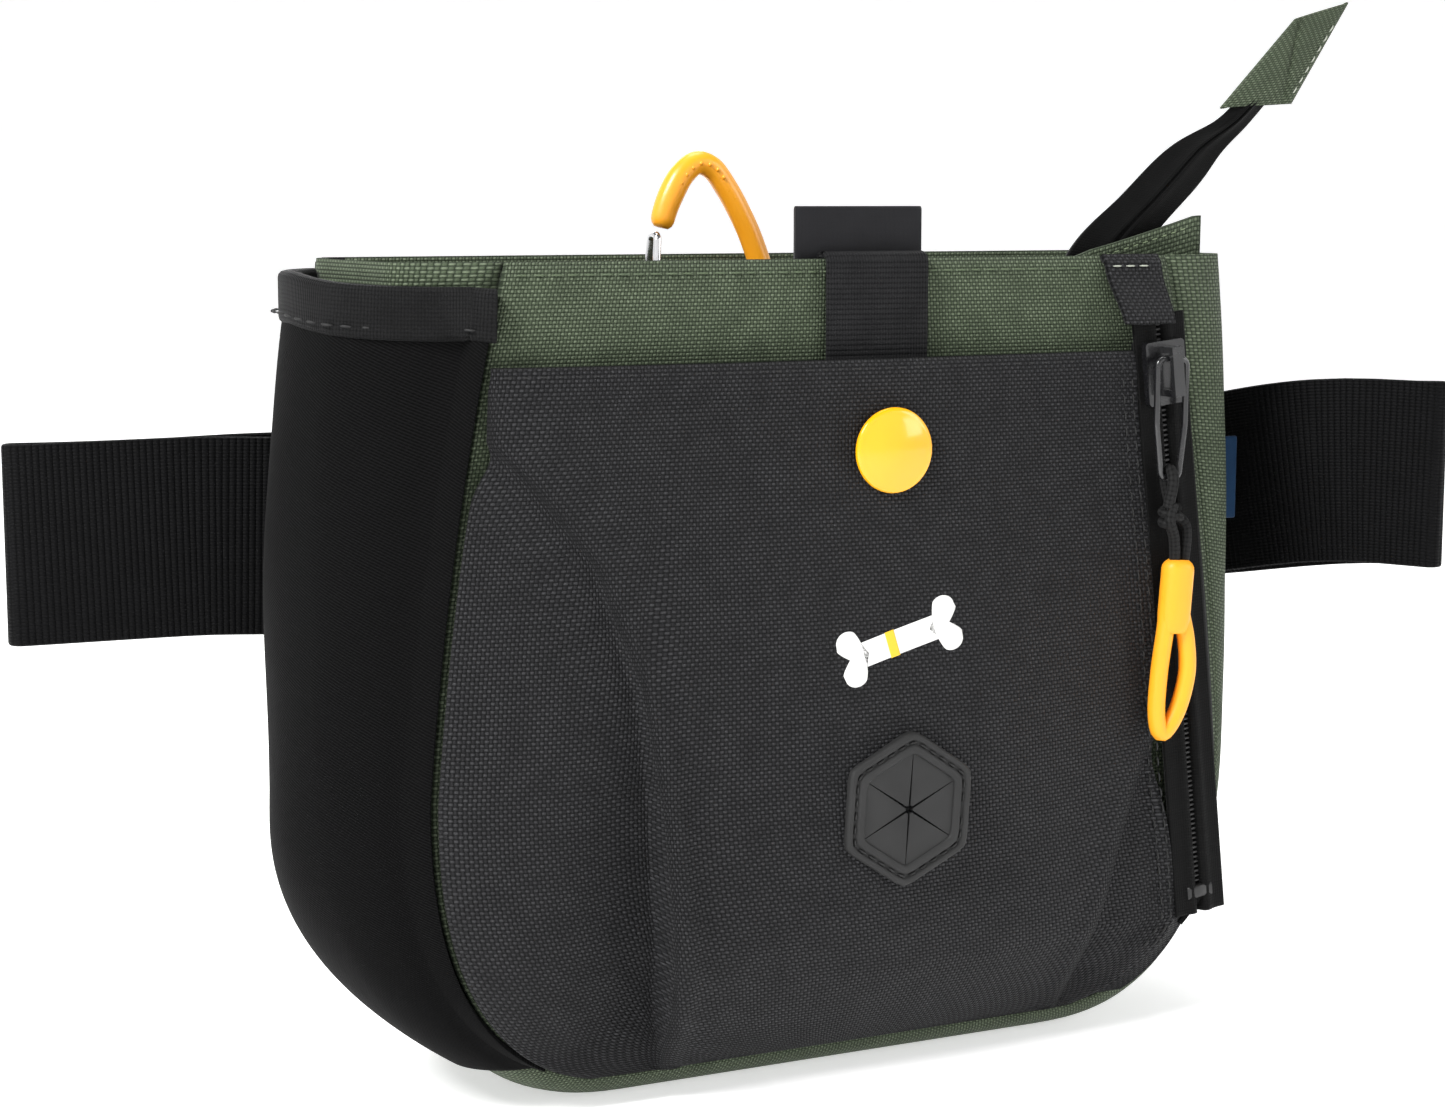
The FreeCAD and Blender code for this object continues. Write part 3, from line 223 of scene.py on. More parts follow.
def frames_along(line, up, closed=False):
    """Unit tangent, side and normal at each point of a path, with the normal kept near up."""
    if closed:
        tangent = np.roll(line, -1, 0) - np.roll(line, 1, 0)
    else:
        tangent = np.gradient(line, axis=0)
    tangent /= np.linalg.norm(tangent, axis=1, keepdims=True)
    up = np.broadcast_to(np.asarray(up, float), line.shape)
    side = np.cross(tangent, up)
    side /= np.linalg.norm(side, axis=1, keepdims=True)
    return tangent, side, np.cross(side, tangent)


def profile_along(name, line, profile, up, closed=False, scale=None):
    """A closed profile (side, normal) in millimetres carried along a path; open paths get flat caps."""
    _, side, normal = frames_along(line, up, closed)
    profile = np.asarray(profile, float)
    grow = np.ones(len(line)) if scale is None else np.asarray(scale, float)
    ring = profile[None, :, :] * grow[:, None, None]
    points = line[:, None] + side[:, None] * ring[..., :1] + normal[:, None] * ring[..., 1:]
    rows, columns = points.shape[:2]
    faces = grid_faces(rows, columns, wrap_rows=closed, wrap_columns=True)[:, ::-1].tolist()
    if not closed:
        faces += [list(range(columns)), [rows * columns - 1 - i for i in range(columns)]]
    around = np.concatenate([[0], np.cumsum(np.linalg.norm(np.diff(profile, axis=0), axis=1))])
    v, u = np.meshgrid(arc_lengths(points, 0), around, indexing="ij")
    return add_mesh(name, points.reshape(-1, 3), faces, np.stack([u, v], -1).reshape(-1, 2))


def round_profile(radius, count=12):
    """Corners of a circle."""
    a = np.arange(count) / count * 2 * math.pi
    return np.stack([np.cos(a), np.sin(a)], -1) * radius


def flat_profile(width, wall, corner=0.3, count=3):
    """Rounded rectangle, width along the side direction and wall along the normal."""
    a = np.linspace(0, math.pi / 2, count)
    turns = [np.stack([np.cos(a + k * math.pi / 2), np.sin(a + k * math.pi / 2)],
                      -1) * corner for k in range(4)]
    middles = [(1, 1), (-1, 1), (-1, -1), (1, -1)]
    spots = [np.array(m) * (width / 2 - corner, wall / 2 - corner) for m in middles]
    return np.concatenate([t + m for t, m in zip(turns, spots)])


# %% Stitches
def stitch_row(name, line, normal, material, body, slot, length=2.2, gap=1.0, thick=0.32, sink=0.1):
    """A row of thread stitches along a path: each is a short bar with pointed ends, laid on the cloth."""
    line = np.asarray(line, float)
    normal = np.broadcast_to(np.asarray(normal, float), line.shape)
    run = np.concatenate([[0], np.cumsum(np.linalg.norm(np.diff(line, axis=0), axis=1))])
    count = max(1, int(run[-1] / (length + gap)))
    start = np.arange(count) * (length + gap) + gap / 2
    along = start[:, None] + np.array([0.0, 0.25, 0.75, 1.0]) * length
    centre = np.stack([np.interp(along, run, line[:, i]) for i in range(3)], -1)
    up = np.stack([np.interp(along, run, normal[:, i]) for i in range(3)], -1)
    up /= np.linalg.norm(up, axis=-1, keepdims=True)
    way = centre[:, 3] - centre[:, 0]
    side = np.cross(way[:, None], up)
    side /= np.linalg.norm(side, axis=-1, keepdims=True)
    a = np.arange(6) / 6 * 2 * math.pi
    fat = np.array([0.35, 1.0, 1.0, 0.35]) * thick / 2
    lift = np.array([-1.0, 0.6, 0.6, -1.0]) * thick / 2 - sink + thick / 2
    ring = centre[:, :, None] + up[:, :, None] * lift[None, :, None, None]
    ring = ring + side[:, :, None] * (np.cos(a)[None, None, :, None] * fat[None, :, None, None])
    ring = ring + up[:, :, None] * (np.sin(a)[None, None, :, None] * fat[None, :, None, None])
    points = ring.reshape(-1, 3)
    tube = grid_faces(4, 6, wrap_columns=True)[:, ::-1]
    caps = [np.arange(6), np.arange(24)[:17:-1]]
    base = (np.arange(count) * 24)[:, None, None]
    quads = (tube[None] + base).reshape(-1, 4).tolist()
    ends = (np.stack(caps)[None] + base).reshape(-1, 6).tolist()
    return finish_piece(add_mesh(name, points, quads + ends), body, slot, material)

# %% [markdown]
# ## Camera, floor and light
# The camera looks at the pouch from its front left, a little above the rim. The floor turns up far
# away on every side, like a paper roll in a studio, so no view shows a horizon. A strong soft light
# stands at the upper left, so the folds cast shade, and three weaker ones fill the rest.

# %% Camera
CAMERA_PLACE = (-0.234277, -0.455646, 0.166251)
CAMERA_WAY = Vector((0.4291, 0.8932, -0.1347))
CAMERA_LENS = 65.31
camera_data = bpy.data.cameras.new("Camera")
camera_data.lens = CAMERA_LENS
camera_data.sensor_width = 36.0
camera = bpy.data.objects.new("Camera", camera_data)
camera.location = CAMERA_PLACE
camera.rotation_euler = CAMERA_WAY.to_track_quat("-Z", "Y").to_euler()
bpy.context.scene.collection.objects.link(camera)
bpy.context.scene.camera = camera
bpy.context.scene.view_settings.view_transform = "Standard"
print("camera at", tuple(camera.location))

# %% Floor
def make_floor():
    """Disc z = 0 to 2 m out, then a quarter-ellipse rise, turned about the pouch."""
    radius = np.concatenate([[0.02], np.linspace(0.3, 2.0, 6),
                             2.0 + 3.0 * np.sin(np.linspace(0.1, 1.4, 14))])
    height = np.concatenate([np.zeros(7), 4.0 * (1 - np.cos(np.linspace(0.1, 1.4, 14)))])
    angle = np.arange(64) / 64 * 2 * math.pi
    points = np.stack([radius[:, None] * np.cos(angle), radius[:, None] * np.sin(angle),
                       np.broadcast_to(height[:, None], (21, 64))], -1) / MM
    faces = grid_faces(21, 64, wrap_columns=True)[:, ::-1].tolist() + [list(range(64))]
    mesh = bpy.data.meshes.new("floor")
    mesh.from_pydata((points.reshape(-1, 3) * MM).tolist(), [], faces)
    mesh.polygons.foreach_set("use_smooth", [True] * len(mesh.polygons))
    obj = bpy.data.objects.new("floor", mesh)
    bpy.context.scene.collection.objects.link(obj)
    material = bpy.data.materials.new("floor_paper")
    material.use_nodes = True
    shader = material.node_tree.nodes["Principled BSDF"]
    shader.inputs["Base Color"].default_value = (0.93, 0.93, 0.93, 1)
    shader.inputs["Roughness"].default_value = 0.9
    shader.inputs["Emission Color"].default_value = (1, 1, 1, 1)
    shader.inputs["Emission Strength"].default_value = 0.5
    mesh.materials.append(material)


make_floor()

# %% Lights
def soft_light(name, place, size, power):
    """Square softbox at place, in metres, facing the middle of the pouch."""
    data = bpy.data.lights.new(name, "AREA")
    data.size = size
    data.energy = power
    lamp = bpy.data.objects.new(name, data)
    lamp.location = place
    way = Vector((0, 0, 0.09)) - Vector(place)
    lamp.rotation_euler = way.to_track_quat("-Z", "Y").to_euler()
    bpy.context.scene.collection.objects.link(lamp)


soft_light("key", (-0.85, -0.3, 0.95), 0.4, 18)
soft_light("fill", (1.1, -0.9, 0.55), 0.6, 4.0)
soft_light("top", (0.15, 0.3, 1.4), 0.7, 8)
soft_light("back", (0.3, 1.3, 0.8), 0.9, 5)
world = bpy.data.worlds.new("Sky")
world.use_nodes = True
world.node_tree.nodes["Background"].inputs["Color"].default_value = (1, 1, 1, 1)
world.node_tree.nodes["Background"].inputs["Strength"].default_value = 0.15
bpy.context.scene.world = world

# %% [markdown]
# ## Materials
# A small class adds one node per call, so that each finish can be written as a formula. Cloth
# reads the UV map, whose unit is a metre of cloth; hard pieces read Object coordinates.

# %% A finish under construction
class Finish:
    """A node material: each method adds one node and returns its output."""

    def __init__(self, name, roughness=0.7):
        self.material = bpy.data.materials.new(name)
        self.material.use_nodes = True
        self.tree = self.material.node_tree
        self.shader = self.tree.nodes["Principled BSDF"]
        self.shader.inputs["Roughness"].default_value = roughness

    def node(self, kind, links=(), **settings):
        """A node of that kind with its settings and (socket, value or output) pairs."""
        made = self.tree.nodes.new(kind)
        for key, value in settings.items():
            setattr(made, key, value)
        for socket, value in links:
            if isinstance(value, bpy.types.NodeSocket):
                self.tree.links.new(value, made.inputs[socket])
            else:
                made.inputs[socket].default_value = value
        return made

    def math(self, operation, a, b=0.0, c=0.0):
        """One Math node."""
        made = self.node("ShaderNodeMath", ((0, a), (1, b), (2, c)), operation=operation)
        return made.outputs[0]

    def place(self, uv=True, turn=0.0):
        """x, y, z outputs of the UV map or of Object coordinates, in millimetres."""
        source = self.node("ShaderNodeTexCoord").outputs["UV" if uv else "Object"]
        size = 1 / MM
        mapped = self.node("ShaderNodeMapping", (("Vector", source), ("Scale", (size, size, size)),
                                                 ("Rotation", (0, 0, math.radians(turn)))))
        self.vector = mapped.outputs[0]
        return self.node("ShaderNodeSeparateXYZ", ((0, self.vector),)).outputs

    def noise(self, size, detail=3.0, vector=None, rough=0.5):
        """Noise whose blobs are about size millimetres across, about 0 to 1."""
        made = self.node("ShaderNodeTexNoise", (("Vector", vector or self.vector), ("Scale", 1 / size),
                                                ("Detail", detail), ("Roughness", rough)))
        return made.outputs["Fac"]

    def span(self, value, low, high, to_low=0.0, to_high=1.0):
        """Map Range, clamped."""
        made = self.node("ShaderNodeMapRange", (("Value", value), ("From Min", low), ("From Max", high),
                                                ("To Min", to_low), ("To Max", to_high)))
        return made.outputs[0]

    def mix(self, share, a, b):
        """Colour a turning into colour b."""
        made = self.node("ShaderNodeMix", data_type="RGBA")
        for socket, value in ((0, share), (6, a), (7, b)):
            if isinstance(value, bpy.types.NodeSocket):
                self.tree.links.new(value, made.inputs[socket])
            else:
                made.inputs[socket].default_value = (*value, 1) if isinstance(value, tuple) else value
        return made.outputs[2]

    def colour(self, output):
        """Base colour."""
        self.tree.links.new(output, self.shader.inputs["Base Color"])

    def rough(self, output):
        """Roughness from a node."""
        self.tree.links.new(output, self.shader.inputs["Roughness"])

    def bump(self, height, depth):
        """Bump whose full height is depth millimetres; a second call adds to the first."""
        links = [("Height", height), ("Distance", depth * MM), ("Strength", 1.0)]
        if self.shader.inputs["Normal"].is_linked:
            links.append(("Normal", self.shader.inputs["Normal"].links[0].from_socket))
        made = self.node("ShaderNodeBump", links)
        self.tree.links.new(made.outputs[0], self.shader.inputs["Normal"])

    def set(self, **values):
        """Constants straight on the shader's sockets, underscores for spaces."""
        for key, value in values.items():
            self.shader.inputs[key.replace("_", " ")].default_value = value


# %% Woven cloth
def yarns(finish, along, across, pitch):
    """Height and over/under map of a plain weave.

    Across each yarn the height is |sin|, and a yarn is on top where the cell indices of the two
    directions add up to an even number; it dips where it goes under."""
    u = finish.math("DIVIDE", along, pitch)
    v = finish.math("DIVIDE", across, pitch)
    cells = [finish.math("FLOOR", w) for w in (u, v)]
    over = finish.math("ABSOLUTE", finish.math("MODULO", finish.math("ADD", *cells), 2.0))
    rounds = [finish.math("ABSOLUTE", finish.math("SINE", finish.math("MULTIPLY", w, math.pi))) for w in (u,
                                                                                                          v)]
    warp = finish.math("MULTIPLY", finish.math("POWER", rounds[0], 0.6),
                       finish.math("MULTIPLY_ADD", rounds[1], 0.45, 0.55))
    weft = finish.math("MULTIPLY", finish.math("POWER", rounds[1], 0.6),
                       finish.math("MULTIPLY_ADD", rounds[0], 0.45, 0.55))
    under = finish.math("SUBTRACT", 1.0, over)
    height = finish.math("ADD", finish.math("MULTIPLY", warp, over), finish.math("MULTIPLY", weft, under))
    return height, over


def woven(name, deep_tone_and_gap_shade, warp_colour, weft_colour, pitch, depth=0.3, roughness=0.75, sheen=0.03, fibre=0.5):
    """Woven cloth: yarns, slubs that change from yarn to yarn, fine fibres along them, and painted shade that
    darkens the dips between yarns.
    """
    finish = Finish(name, roughness)
    x, y, _ = finish.place()
    height, over = yarns(finish, x, y, pitch)
    slub = finish.noise(5.0, 4.0)
    speck = finish.noise(0.22, 2.0)
    tone = finish.mix(over, weft_colour, warp_colour)
    tone = finish.mix(finish.span(slub, 0.35, 0.7, 0.0, 0.35), tone, deep_tone_and_gap_shade)
    tone = finish.mix(finish.span(speck, 0.3, 0.75, 0.0, fibre), tone, deep_tone_and_gap_shade)
    # painted shade: the tone turns to the deep colour where the yarns dip, as shade between them
    tone = finish.mix(finish.span(height, 0.35, 0.85, 1.0, 0.0), tone, deep_tone_and_gap_shade)
    finish.colour(tone)
    finish.rough(finish.span(height, 0.0, 1.0, roughness + 0.12, roughness - 0.08))
    finish.bump(height, depth)
    finish.bump(speck, 0.03)
    finish.set(Sheen_Weight=sheen, Sheen_Roughness=0.4, Specular_IOR_Level=0.12)
    return finish.material


green_cloth = woven("green_pack_cloth", (0.026, 0.036, 0.021), (0.092, 0.118, 0.072), (0.185, 0.225, 0.15),
                    0.7,
                    roughness=0.62)
charcoal_cloth = woven("charcoal_ballistic_cloth", (0.0035, 0.0035, 0.004), (0.020, 0.020, 0.0215),
                       (0.052, 0.052, 0.055), 0.74, depth=0.36, roughness=0.6)
back_cloth = woven("back_pack_cloth", (0.004, 0.004, 0.004), (0.018, 0.018, 0.019), (0.034, 0.034, 0.036),
                   0.6,
                   depth=0.24, roughness=0.7)
lining = woven("coated_lining", (0.03, 0.04, 0.027), (0.075, 0.1, 0.06), (0.06, 0.08, 0.048), 0.45,
               depth=0.06, roughness=0.5, fibre=0.2)
print("woven cloths", green_cloth.name, charcoal_cloth.name, back_cloth.name, lining.name)

# %% [markdown]
# Stretch cloth is a fine twill: its ribs run on a slant, so its height is a sine of x + y. Webbing,
# elastic and zip tape are ribbed bands, so theirs is a sine of the distance along the band, with the
# yarns' own fine weave on each rib.

# %% Twill, ribs and tapes
def twill(name, deep_tone_and_gap_shade, face, pitch, depth=0.1, roughness=0.8, sheen=0.02):
    """Slanted ribs at 60 degrees, each broken up along its length, with painted shade darkening the valleys
    between ribs.
    """
    finish = Finish(name, roughness)
    x, y, _ = finish.place(turn=62.0)
    rib = finish.math("SINE", finish.math("MULTIPLY", x, 2 * math.pi / pitch))
    bead = finish.math("SINE", finish.math("MULTIPLY", y, 2 * math.pi / (pitch * 1.7)))
    height = finish.math("MULTIPLY_ADD", rib, 0.4, 0.5)
    height = finish.math("MULTIPLY_ADD", bead, 0.1, height)
    speck = finish.noise(0.3, 3.0)
    # painted shade: the tone runs from the deep colour in the valleys between ribs to the face colour on
    # their crests
    tone = finish.mix(finish.span(height, 0.1, 0.8), deep_tone_and_gap_shade, face)
    tone = finish.mix(finish.span(speck, 0.4, 0.8, 0.0, 0.5), tone, deep_tone_and_gap_shade)
    finish.colour(tone)
    finish.bump(height, depth)
    finish.bump(finish.noise(9.0, 2.0), 0.25)
    finish.set(Sheen_Weight=sheen, Sheen_Roughness=0.35, Specular_IOR_Level=0.05)
    return finish.material


def ribbed(name, deep_tone_and_gap_shade, face, pitch, weave, depth=0.3, roughness=0.6, sheen=0.03, ribs=0.55):
    """Ribs across a band whose length is v and whose width is u, with painted shade darkening the hollows
    between ribs and yarns.
    """
    finish = Finish(name, roughness)
    across, run, _ = finish.place()
    wave = finish.math("ABSOLUTE", finish.math("SINE", finish.math("MULTIPLY", run, math.pi / pitch)))
    rib = finish.math("POWER", wave, 0.7)
    fine = finish.math("ABSOLUTE", finish.math("SINE", finish.math("MULTIPLY", across, math.pi / weave)))
    height = finish.math("ADD", finish.math("MULTIPLY", rib, ribs), finish.math("MULTIPLY", fine, 1 - ribs))
    speck = finish.noise(0.25, 3.0)
    # painted shade: the tone runs from the deep colour in the hollows between ribs and yarns to the face
    # colour on top
    tone = finish.mix(finish.span(height, 0.15, 0.85), deep_tone_and_gap_shade, face)
    tone = finish.mix(finish.span(speck, 0.35, 0.75, 0.0, 0.55), tone, deep_tone_and_gap_shade)
    tone = finish.mix(finish.span(finish.noise(6.0, 2.0), 0.4, 0.7, 0.0, 0.3), tone, deep_tone_and_gap_shade)
    finish.colour(tone)
    finish.bump(height, depth)
    finish.bump(speck, 0.03)
    finish.set(Sheen_Weight=sheen, Sheen_Roughness=0.4, Specular_IOR_Level=0.07)
    return finish.material


stretch_cloth = twill("stretch_cloth", (0.001, 0.001, 0.001), (0.0065, 0.0065, 0.0067), 0.5)
belt_cloth = ribbed("ribbed_webbing", (0.0004, 0.0004, 0.0005), (0.0042, 0.0042, 0.0047), 1.22, 0.75,
                    sheen=0.0)
tab_cloth = ribbed("fine_webbing", (0.002, 0.002, 0.0025), (0.022, 0.022, 0.023), 0.95, 0.6, depth=0.22)
elastic_cloth = ribbed("elastic_binding", (0.002, 0.002, 0.002), (0.013, 0.013, 0.0135), 0.55, 0.7,
                       depth=0.14)
tape_cloth = ribbed("zip_tape", (0.001, 0.001, 0.001), (0.006, 0.006, 0.006), 0.6, 0.5, depth=0.08,
                    sheen=0.03)
label_cloth = ribbed("satin_label", (0.008, 0.008, 0.009), (0.020, 0.020, 0.022), 0.28, 0.28, depth=0.03,
                     roughness=0.5, sheen=0.08)
navy_cloth = ribbed("navy_label", (0.003, 0.012, 0.03), (0.008, 0.034, 0.085), 0.28, 0.28, depth=0.03,
                    roughness=0.5, sheen=0.05)
print("twill and ribbed cloths made")

# %% [markdown]
# Moulded plastic and rubber have a fine spark-eroded grain. Lacquered zinc and powder-coated bar are
# smoother, with wear where they rub. Noise in Object coordinates gives all of them, at different
# sizes and depths.

# %% Hard finishes
def moulded(name, face, worn, roughness, grain=0.25, grain_depth=0.02, coat=0.0, metallic=0.0,
            specular=0.5):
    """Grain as fine noise, tone and gloss that drift over centimetres, and worn patches."""
    finish = Finish(name, roughness)
    finish.place(uv=False)
    drift = finish.noise(14.0, 4.0)
    grain_noise = finish.noise(grain, 2.0)
    finish.colour(finish.mix(finish.span(drift, 0.45, 0.75, 0.0, 0.6), face, worn))
    finish.rough(finish.span(finish.noise(5.0, 5.0), 0.3, 0.7, roughness - 0.06, roughness + 0.08))
    finish.bump(grain_noise, grain_depth)
    finish.set(Metallic=metallic, Coat_Weight=coat, Coat_Roughness=0.08, Specular_IOR_Level=specular)
    return finish.material


black_plastic = moulded("moulded_black_plastic", (0.008, 0.008, 0.009), (0.014, 0.014, 0.015), 0.42,
                        grain=0.3,
                        grain_depth=0.03, specular=0.35)
black_rubber = moulded("matt_black_rubber", (0.019, 0.019, 0.019), (0.026, 0.026, 0.026), 0.6, grain=0.2,
                       grain_depth=0.02, specular=0.3)
lacquer = moulded("black_lacquered_zinc", (0.008, 0.008, 0.009), (0.02, 0.02, 0.02), 0.24, grain=1.2,
                  grain_depth=0.01, coat=0.6)
orange_rubber = moulded("orange_rubber", (1.0, 0.40, 0.018), (0.95, 0.34, 0.014), 0.42, grain=0.4,
                        grain_depth=0.012, specular=0.4)
orange_coat = moulded("orange_powder_coat", (1.0, 0.41, 0.018), (0.95, 0.35, 0.014), 0.33, grain=0.5,
                      grain_depth=0.02, coat=0.15)
yellow_gloss = moulded("yellow_gloss_plastic", (0.98, 0.44, 0.003), (0.95, 0.41, 0.003), 0.16, grain=0.8,
                       grain_depth=0.004, coat=0.5)
coil_plastic = moulded("zip_coil_plastic", (0.010, 0.010, 0.010), (0.02, 0.02, 0.02), 0.38, grain=0.15,
                       grain_depth=0.02)
steel_wire = moulded("polished_steel_wire", (0.72, 0.72, 0.73), (0.55, 0.55, 0.56), 0.18, grain=0.6,
                     grain_depth=0.006, metallic=1.0)
press_steel = moulded("pressed_steel", (0.55, 0.55, 0.56), (0.4, 0.4, 0.41), 0.3, grain=0.5,
                      grain_depth=0.012, metallic=1.0)
thread_dark = moulded("black_thread", (0.006, 0.006, 0.006), (0.010, 0.010, 0.010), 0.6, grain=0.18,
                      grain_depth=0.05)
thread_light = moulded("pale_thread", (0.36, 0.38, 0.32), (0.30, 0.32, 0.27), 0.65, grain=0.18,
                       grain_depth=0.05)
thread_green = moulded("green_thread", (0.085, 0.115, 0.062), (0.06, 0.085, 0.05), 0.65, grain=0.18,
                       grain_depth=0.05)
thread_pale_green = moulded("pale_green_thread", (0.20, 0.25, 0.15), (0.15, 0.19, 0.11), 0.65, grain=0.18,
                            grain_depth=0.05, specular=0.15)
print("hard finishes and threads made")

# %% [markdown]
# ## The gusset
# One long strip of pack cloth runs down the left side, under the bag and up the right side. It is
# sewn to the flat panels, so it turns in sharply at both seams and swells out between them. The
# surface is the bag's outline, pushed outwards by a quarter ellipse near each seam. Its inside shows
# at the mouth, so Solidify gives it a wall with a lining on the inner face.

# %% Gusset surface
GUSSET_FRONT_Y = FRONT_Y + 1.8
SWELL_FRONT_Y = FRONT_Y + 10.8
SWELL_BACK_Y = BACK_Y - 8.0
GUSSET_BACK_Y = BACK_Y - 3.0


def ring_sizes(y):
    """Half widths at the rim and the belly, and the foot's height, of the gusset at depth y.

    From each seam to the swell the value follows a quarter ellipse, sqrt(1 - (1 - t)^2), so the
    cloth leaves the seam steeply and is level at the swell."""
    y = np.asarray(y, float)
    t = np.clip((y - GUSSET_FRONT_Y) / (SWELL_FRONT_Y - GUSSET_FRONT_Y), 0, 1)
    rise = np.sqrt(1 - (1 - t) ** 2)
    b = np.clip((GUSSET_BACK_Y - y) / (GUSSET_BACK_Y - SWELL_BACK_Y), 0, 1)
    back = np.sqrt(1 - (1 - b) ** 2)
    middle = np.clip((y - SWELL_FRONT_Y) / (SWELL_BACK_Y - SWELL_FRONT_Y), 0, 1)
    top = FRONT_TOP_HALF + (SIDE_TOP_HALF - FRONT_TOP_HALF) * rise + SIDE_BULGE_BACK * middle
    wide = FRONT_MAX_HALF + (SIDE_MAX_HALF - FRONT_MAX_HALF) * rise + SIDE_BULGE_BACK * middle
    foot = SEAM_LIFT * (1 - rise)
    top = BACK_TOP_HALF + (top - BACK_TOP_HALF) * back
    wide = BACK_MAX_HALF + (wide - BACK_MAX_HALF) * back
    return top, wide, foot + (BACK_SEAM_LIFT - foot) * (1 - back)


def gusset_half(y, z):
    """Half width of the gusset's outer face at depth y and height z."""
    top, wide, foot = ring_sizes(y)
    return half_at(top, wide, foot, z)


def gusset_points(s, y):
    """Grid of the gusset's outer face: rows follow the outline by s, columns go back by y."""
    rows = []
    for depth in y:
        top, wide, foot = (float(v) for v in ring_sizes(depth))
        x, z = outline(top, wide, foot, s)
        rows.append(np.stack([x, np.full_like(x, depth), z], -1))
    return np.stack(rows, 1)


across = 0.5 - 0.5 * np.cos(np.linspace(0, math.pi, 25))
gusset_y = GUSSET_FRONT_Y + (GUSSET_BACK_Y - GUSSET_FRONT_Y) * across
gusset_s = np.linspace(0, 1, 161)
grid = gusset_points(gusset_s, gusset_y)
sag = np.sin(np.linspace(0, math.pi, 25))[None, :] * np.sin(gusset_s * 37.0)[:, None] * 0.25
grid[..., 0] += np.sign(grid[..., 0]) * np.abs(sag) * (grid[..., 2] > 20)
gusset = sheet_piece("gusset", grid)
thicken(gusset, 1.3, inside=1)
finish_piece(gusset, "pouch", "green_cloth", green_cloth, "gusset_left", "gusset_right", "gusset_bottom",
             lining=lining)

# %% [markdown]
# ## Front panel, rim and facings
# The flat panel behind the pocket shows as a band of green under the rim. Its cloth is turned over
# at the rim, where a light stitch row holds it, so the top edge is a soft fold. The row is a few dozen
# short bars of thread, since a painted line would not catch the light.

# %% Front panel
def panel_points(rows, columns, y, half, foot, lean):
    """Grid over a panel: x spans the outline's half width at each height, and the cloth bows out by lean
    millimetres."""
    z = foot + (HEIGHT - foot) * np.linspace(0.0, 1.0, rows) ** 0.9
    t = np.linspace(-1, 1, columns)
    grid_z, grid_t = np.meshgrid(z, t, indexing="ij")
    x = grid_t * half(z)[:, None]
    bow = lean * (1 - grid_t ** 2) * smooth((grid_z - foot) / 40) * (1 - smooth((grid_z - HEIGHT + 40) / 40))
    return np.stack([x, y - bow, grid_z], -1)


grid = panel_points(56, 49, FRONT_Y + 0.6, lambda z: front_half(z) - 0.2, SEAM_LIFT + 0.02, 0.0)
fold = np.clip((grid[..., 2] - (HEIGHT - 1.0)) / 1.0, 0, 1)
grid[..., 1] += 0.5 * fold ** 2
ease = smooth((grid[..., 2] - 137) / 4)
pucker = 0.28 * np.sin(grid[..., 0] * 0.55) * np.exp(-((grid[..., 2] - HEIGHT + 3) / 3.0) ** 2)
drape = -0.9 * np.exp(-((grid[..., 0] + 18) / 9) ** 2) - 0.8 * np.exp(-((grid[..., 0] + 42) / 12) ** 2)
grid[..., 1] += ease * (pucker + drape * 0.55)
front = sheet_piece("front_panel_cloth", grid)
thicken(front, 1.4, offset=-1.0)
finish_piece(front, "pouch", "green_cloth", green_cloth, "front_panel", "rim_facing_front")


# %% Back rim facing
def rim_band(name, x0, x1, y, facing, height=12.0):
    """Folded cloth band inside the mouth, its lower edge eased off the wall by a millimetre."""
    z = HEIGHT - height + height * np.linspace(0, 1, 10)
    x = np.linspace(x0, x1, 60)
    grid_z, grid_x = np.meshgrid(z, x, indexing="ij")
    wave = 0.18 * np.sin(grid_x * 0.4) + facing * 0.3 * (1 - np.linspace(0, 1, 10))[:, None] ** 2
    return sheet_piece(name, np.stack([grid_x, y + wave, grid_z], -1), flip=facing > 0)


low, high = node_box("rim_facing_back")
facing = rim_band("rim_facing_back_cloth", low[0], high[0], low[1] + 0.3, -1)
thicken(facing, 0.9, offset=1.0)
finish_piece(facing, "pouch", "green_cloth", green_cloth, "rim_facing_back")

# %% Rim stitches
def row_between(x0, x1, y, z, count=80):
    """Straight run of points for a stitch row."""
    x = np.linspace(x0, x1, count)
    return np.stack([x, np.full(count, y), np.full(count, z)], -1)


def rim_y(x):
    """Outer face of the front panel's band at x, with its slack."""
    drape = -0.9 * np.exp(-((x + 18) / 9) ** 2) - 0.8 * np.exp(-((x + 42) / 12) ** 2)
    pucker = 0.28 * np.sin(x * 0.55) * math.exp(-((2.4 - 3) / 3.0) ** 2)
    return FRONT_Y + 0.6 + pucker + drape * 0.55


line = row_between(-FRONT_TOP_HALF + 1.5, 50.5, 0, HEIGHT - 2.4, 240)
line[:, 1] = rim_y(line[:, 0])
stitch_row("rim_stitches_front", line, (0, -1, 0), thread_green, "pouch", "green_cloth")
stitch_row("rim_stitches_back", row_between(-80, 80, low[1] - 0.5, HEIGHT - 2.4), (0, -1, 0), thread_green,
           "pouch",
           "green_cloth")

# %% [markdown]
# ## Front pocket
# The pocket is a puffed panel of ballistic cloth. At each lower side a tuck takes up cloth: the
# middle laps over the side in a raised edge that runs down to the bottom seam, and the side lobe
# dives under it. The tucks are steps in the surface's height, sharp on the lapping side and soft on
# the other, and the step grows from nothing at the tuck's upper end.

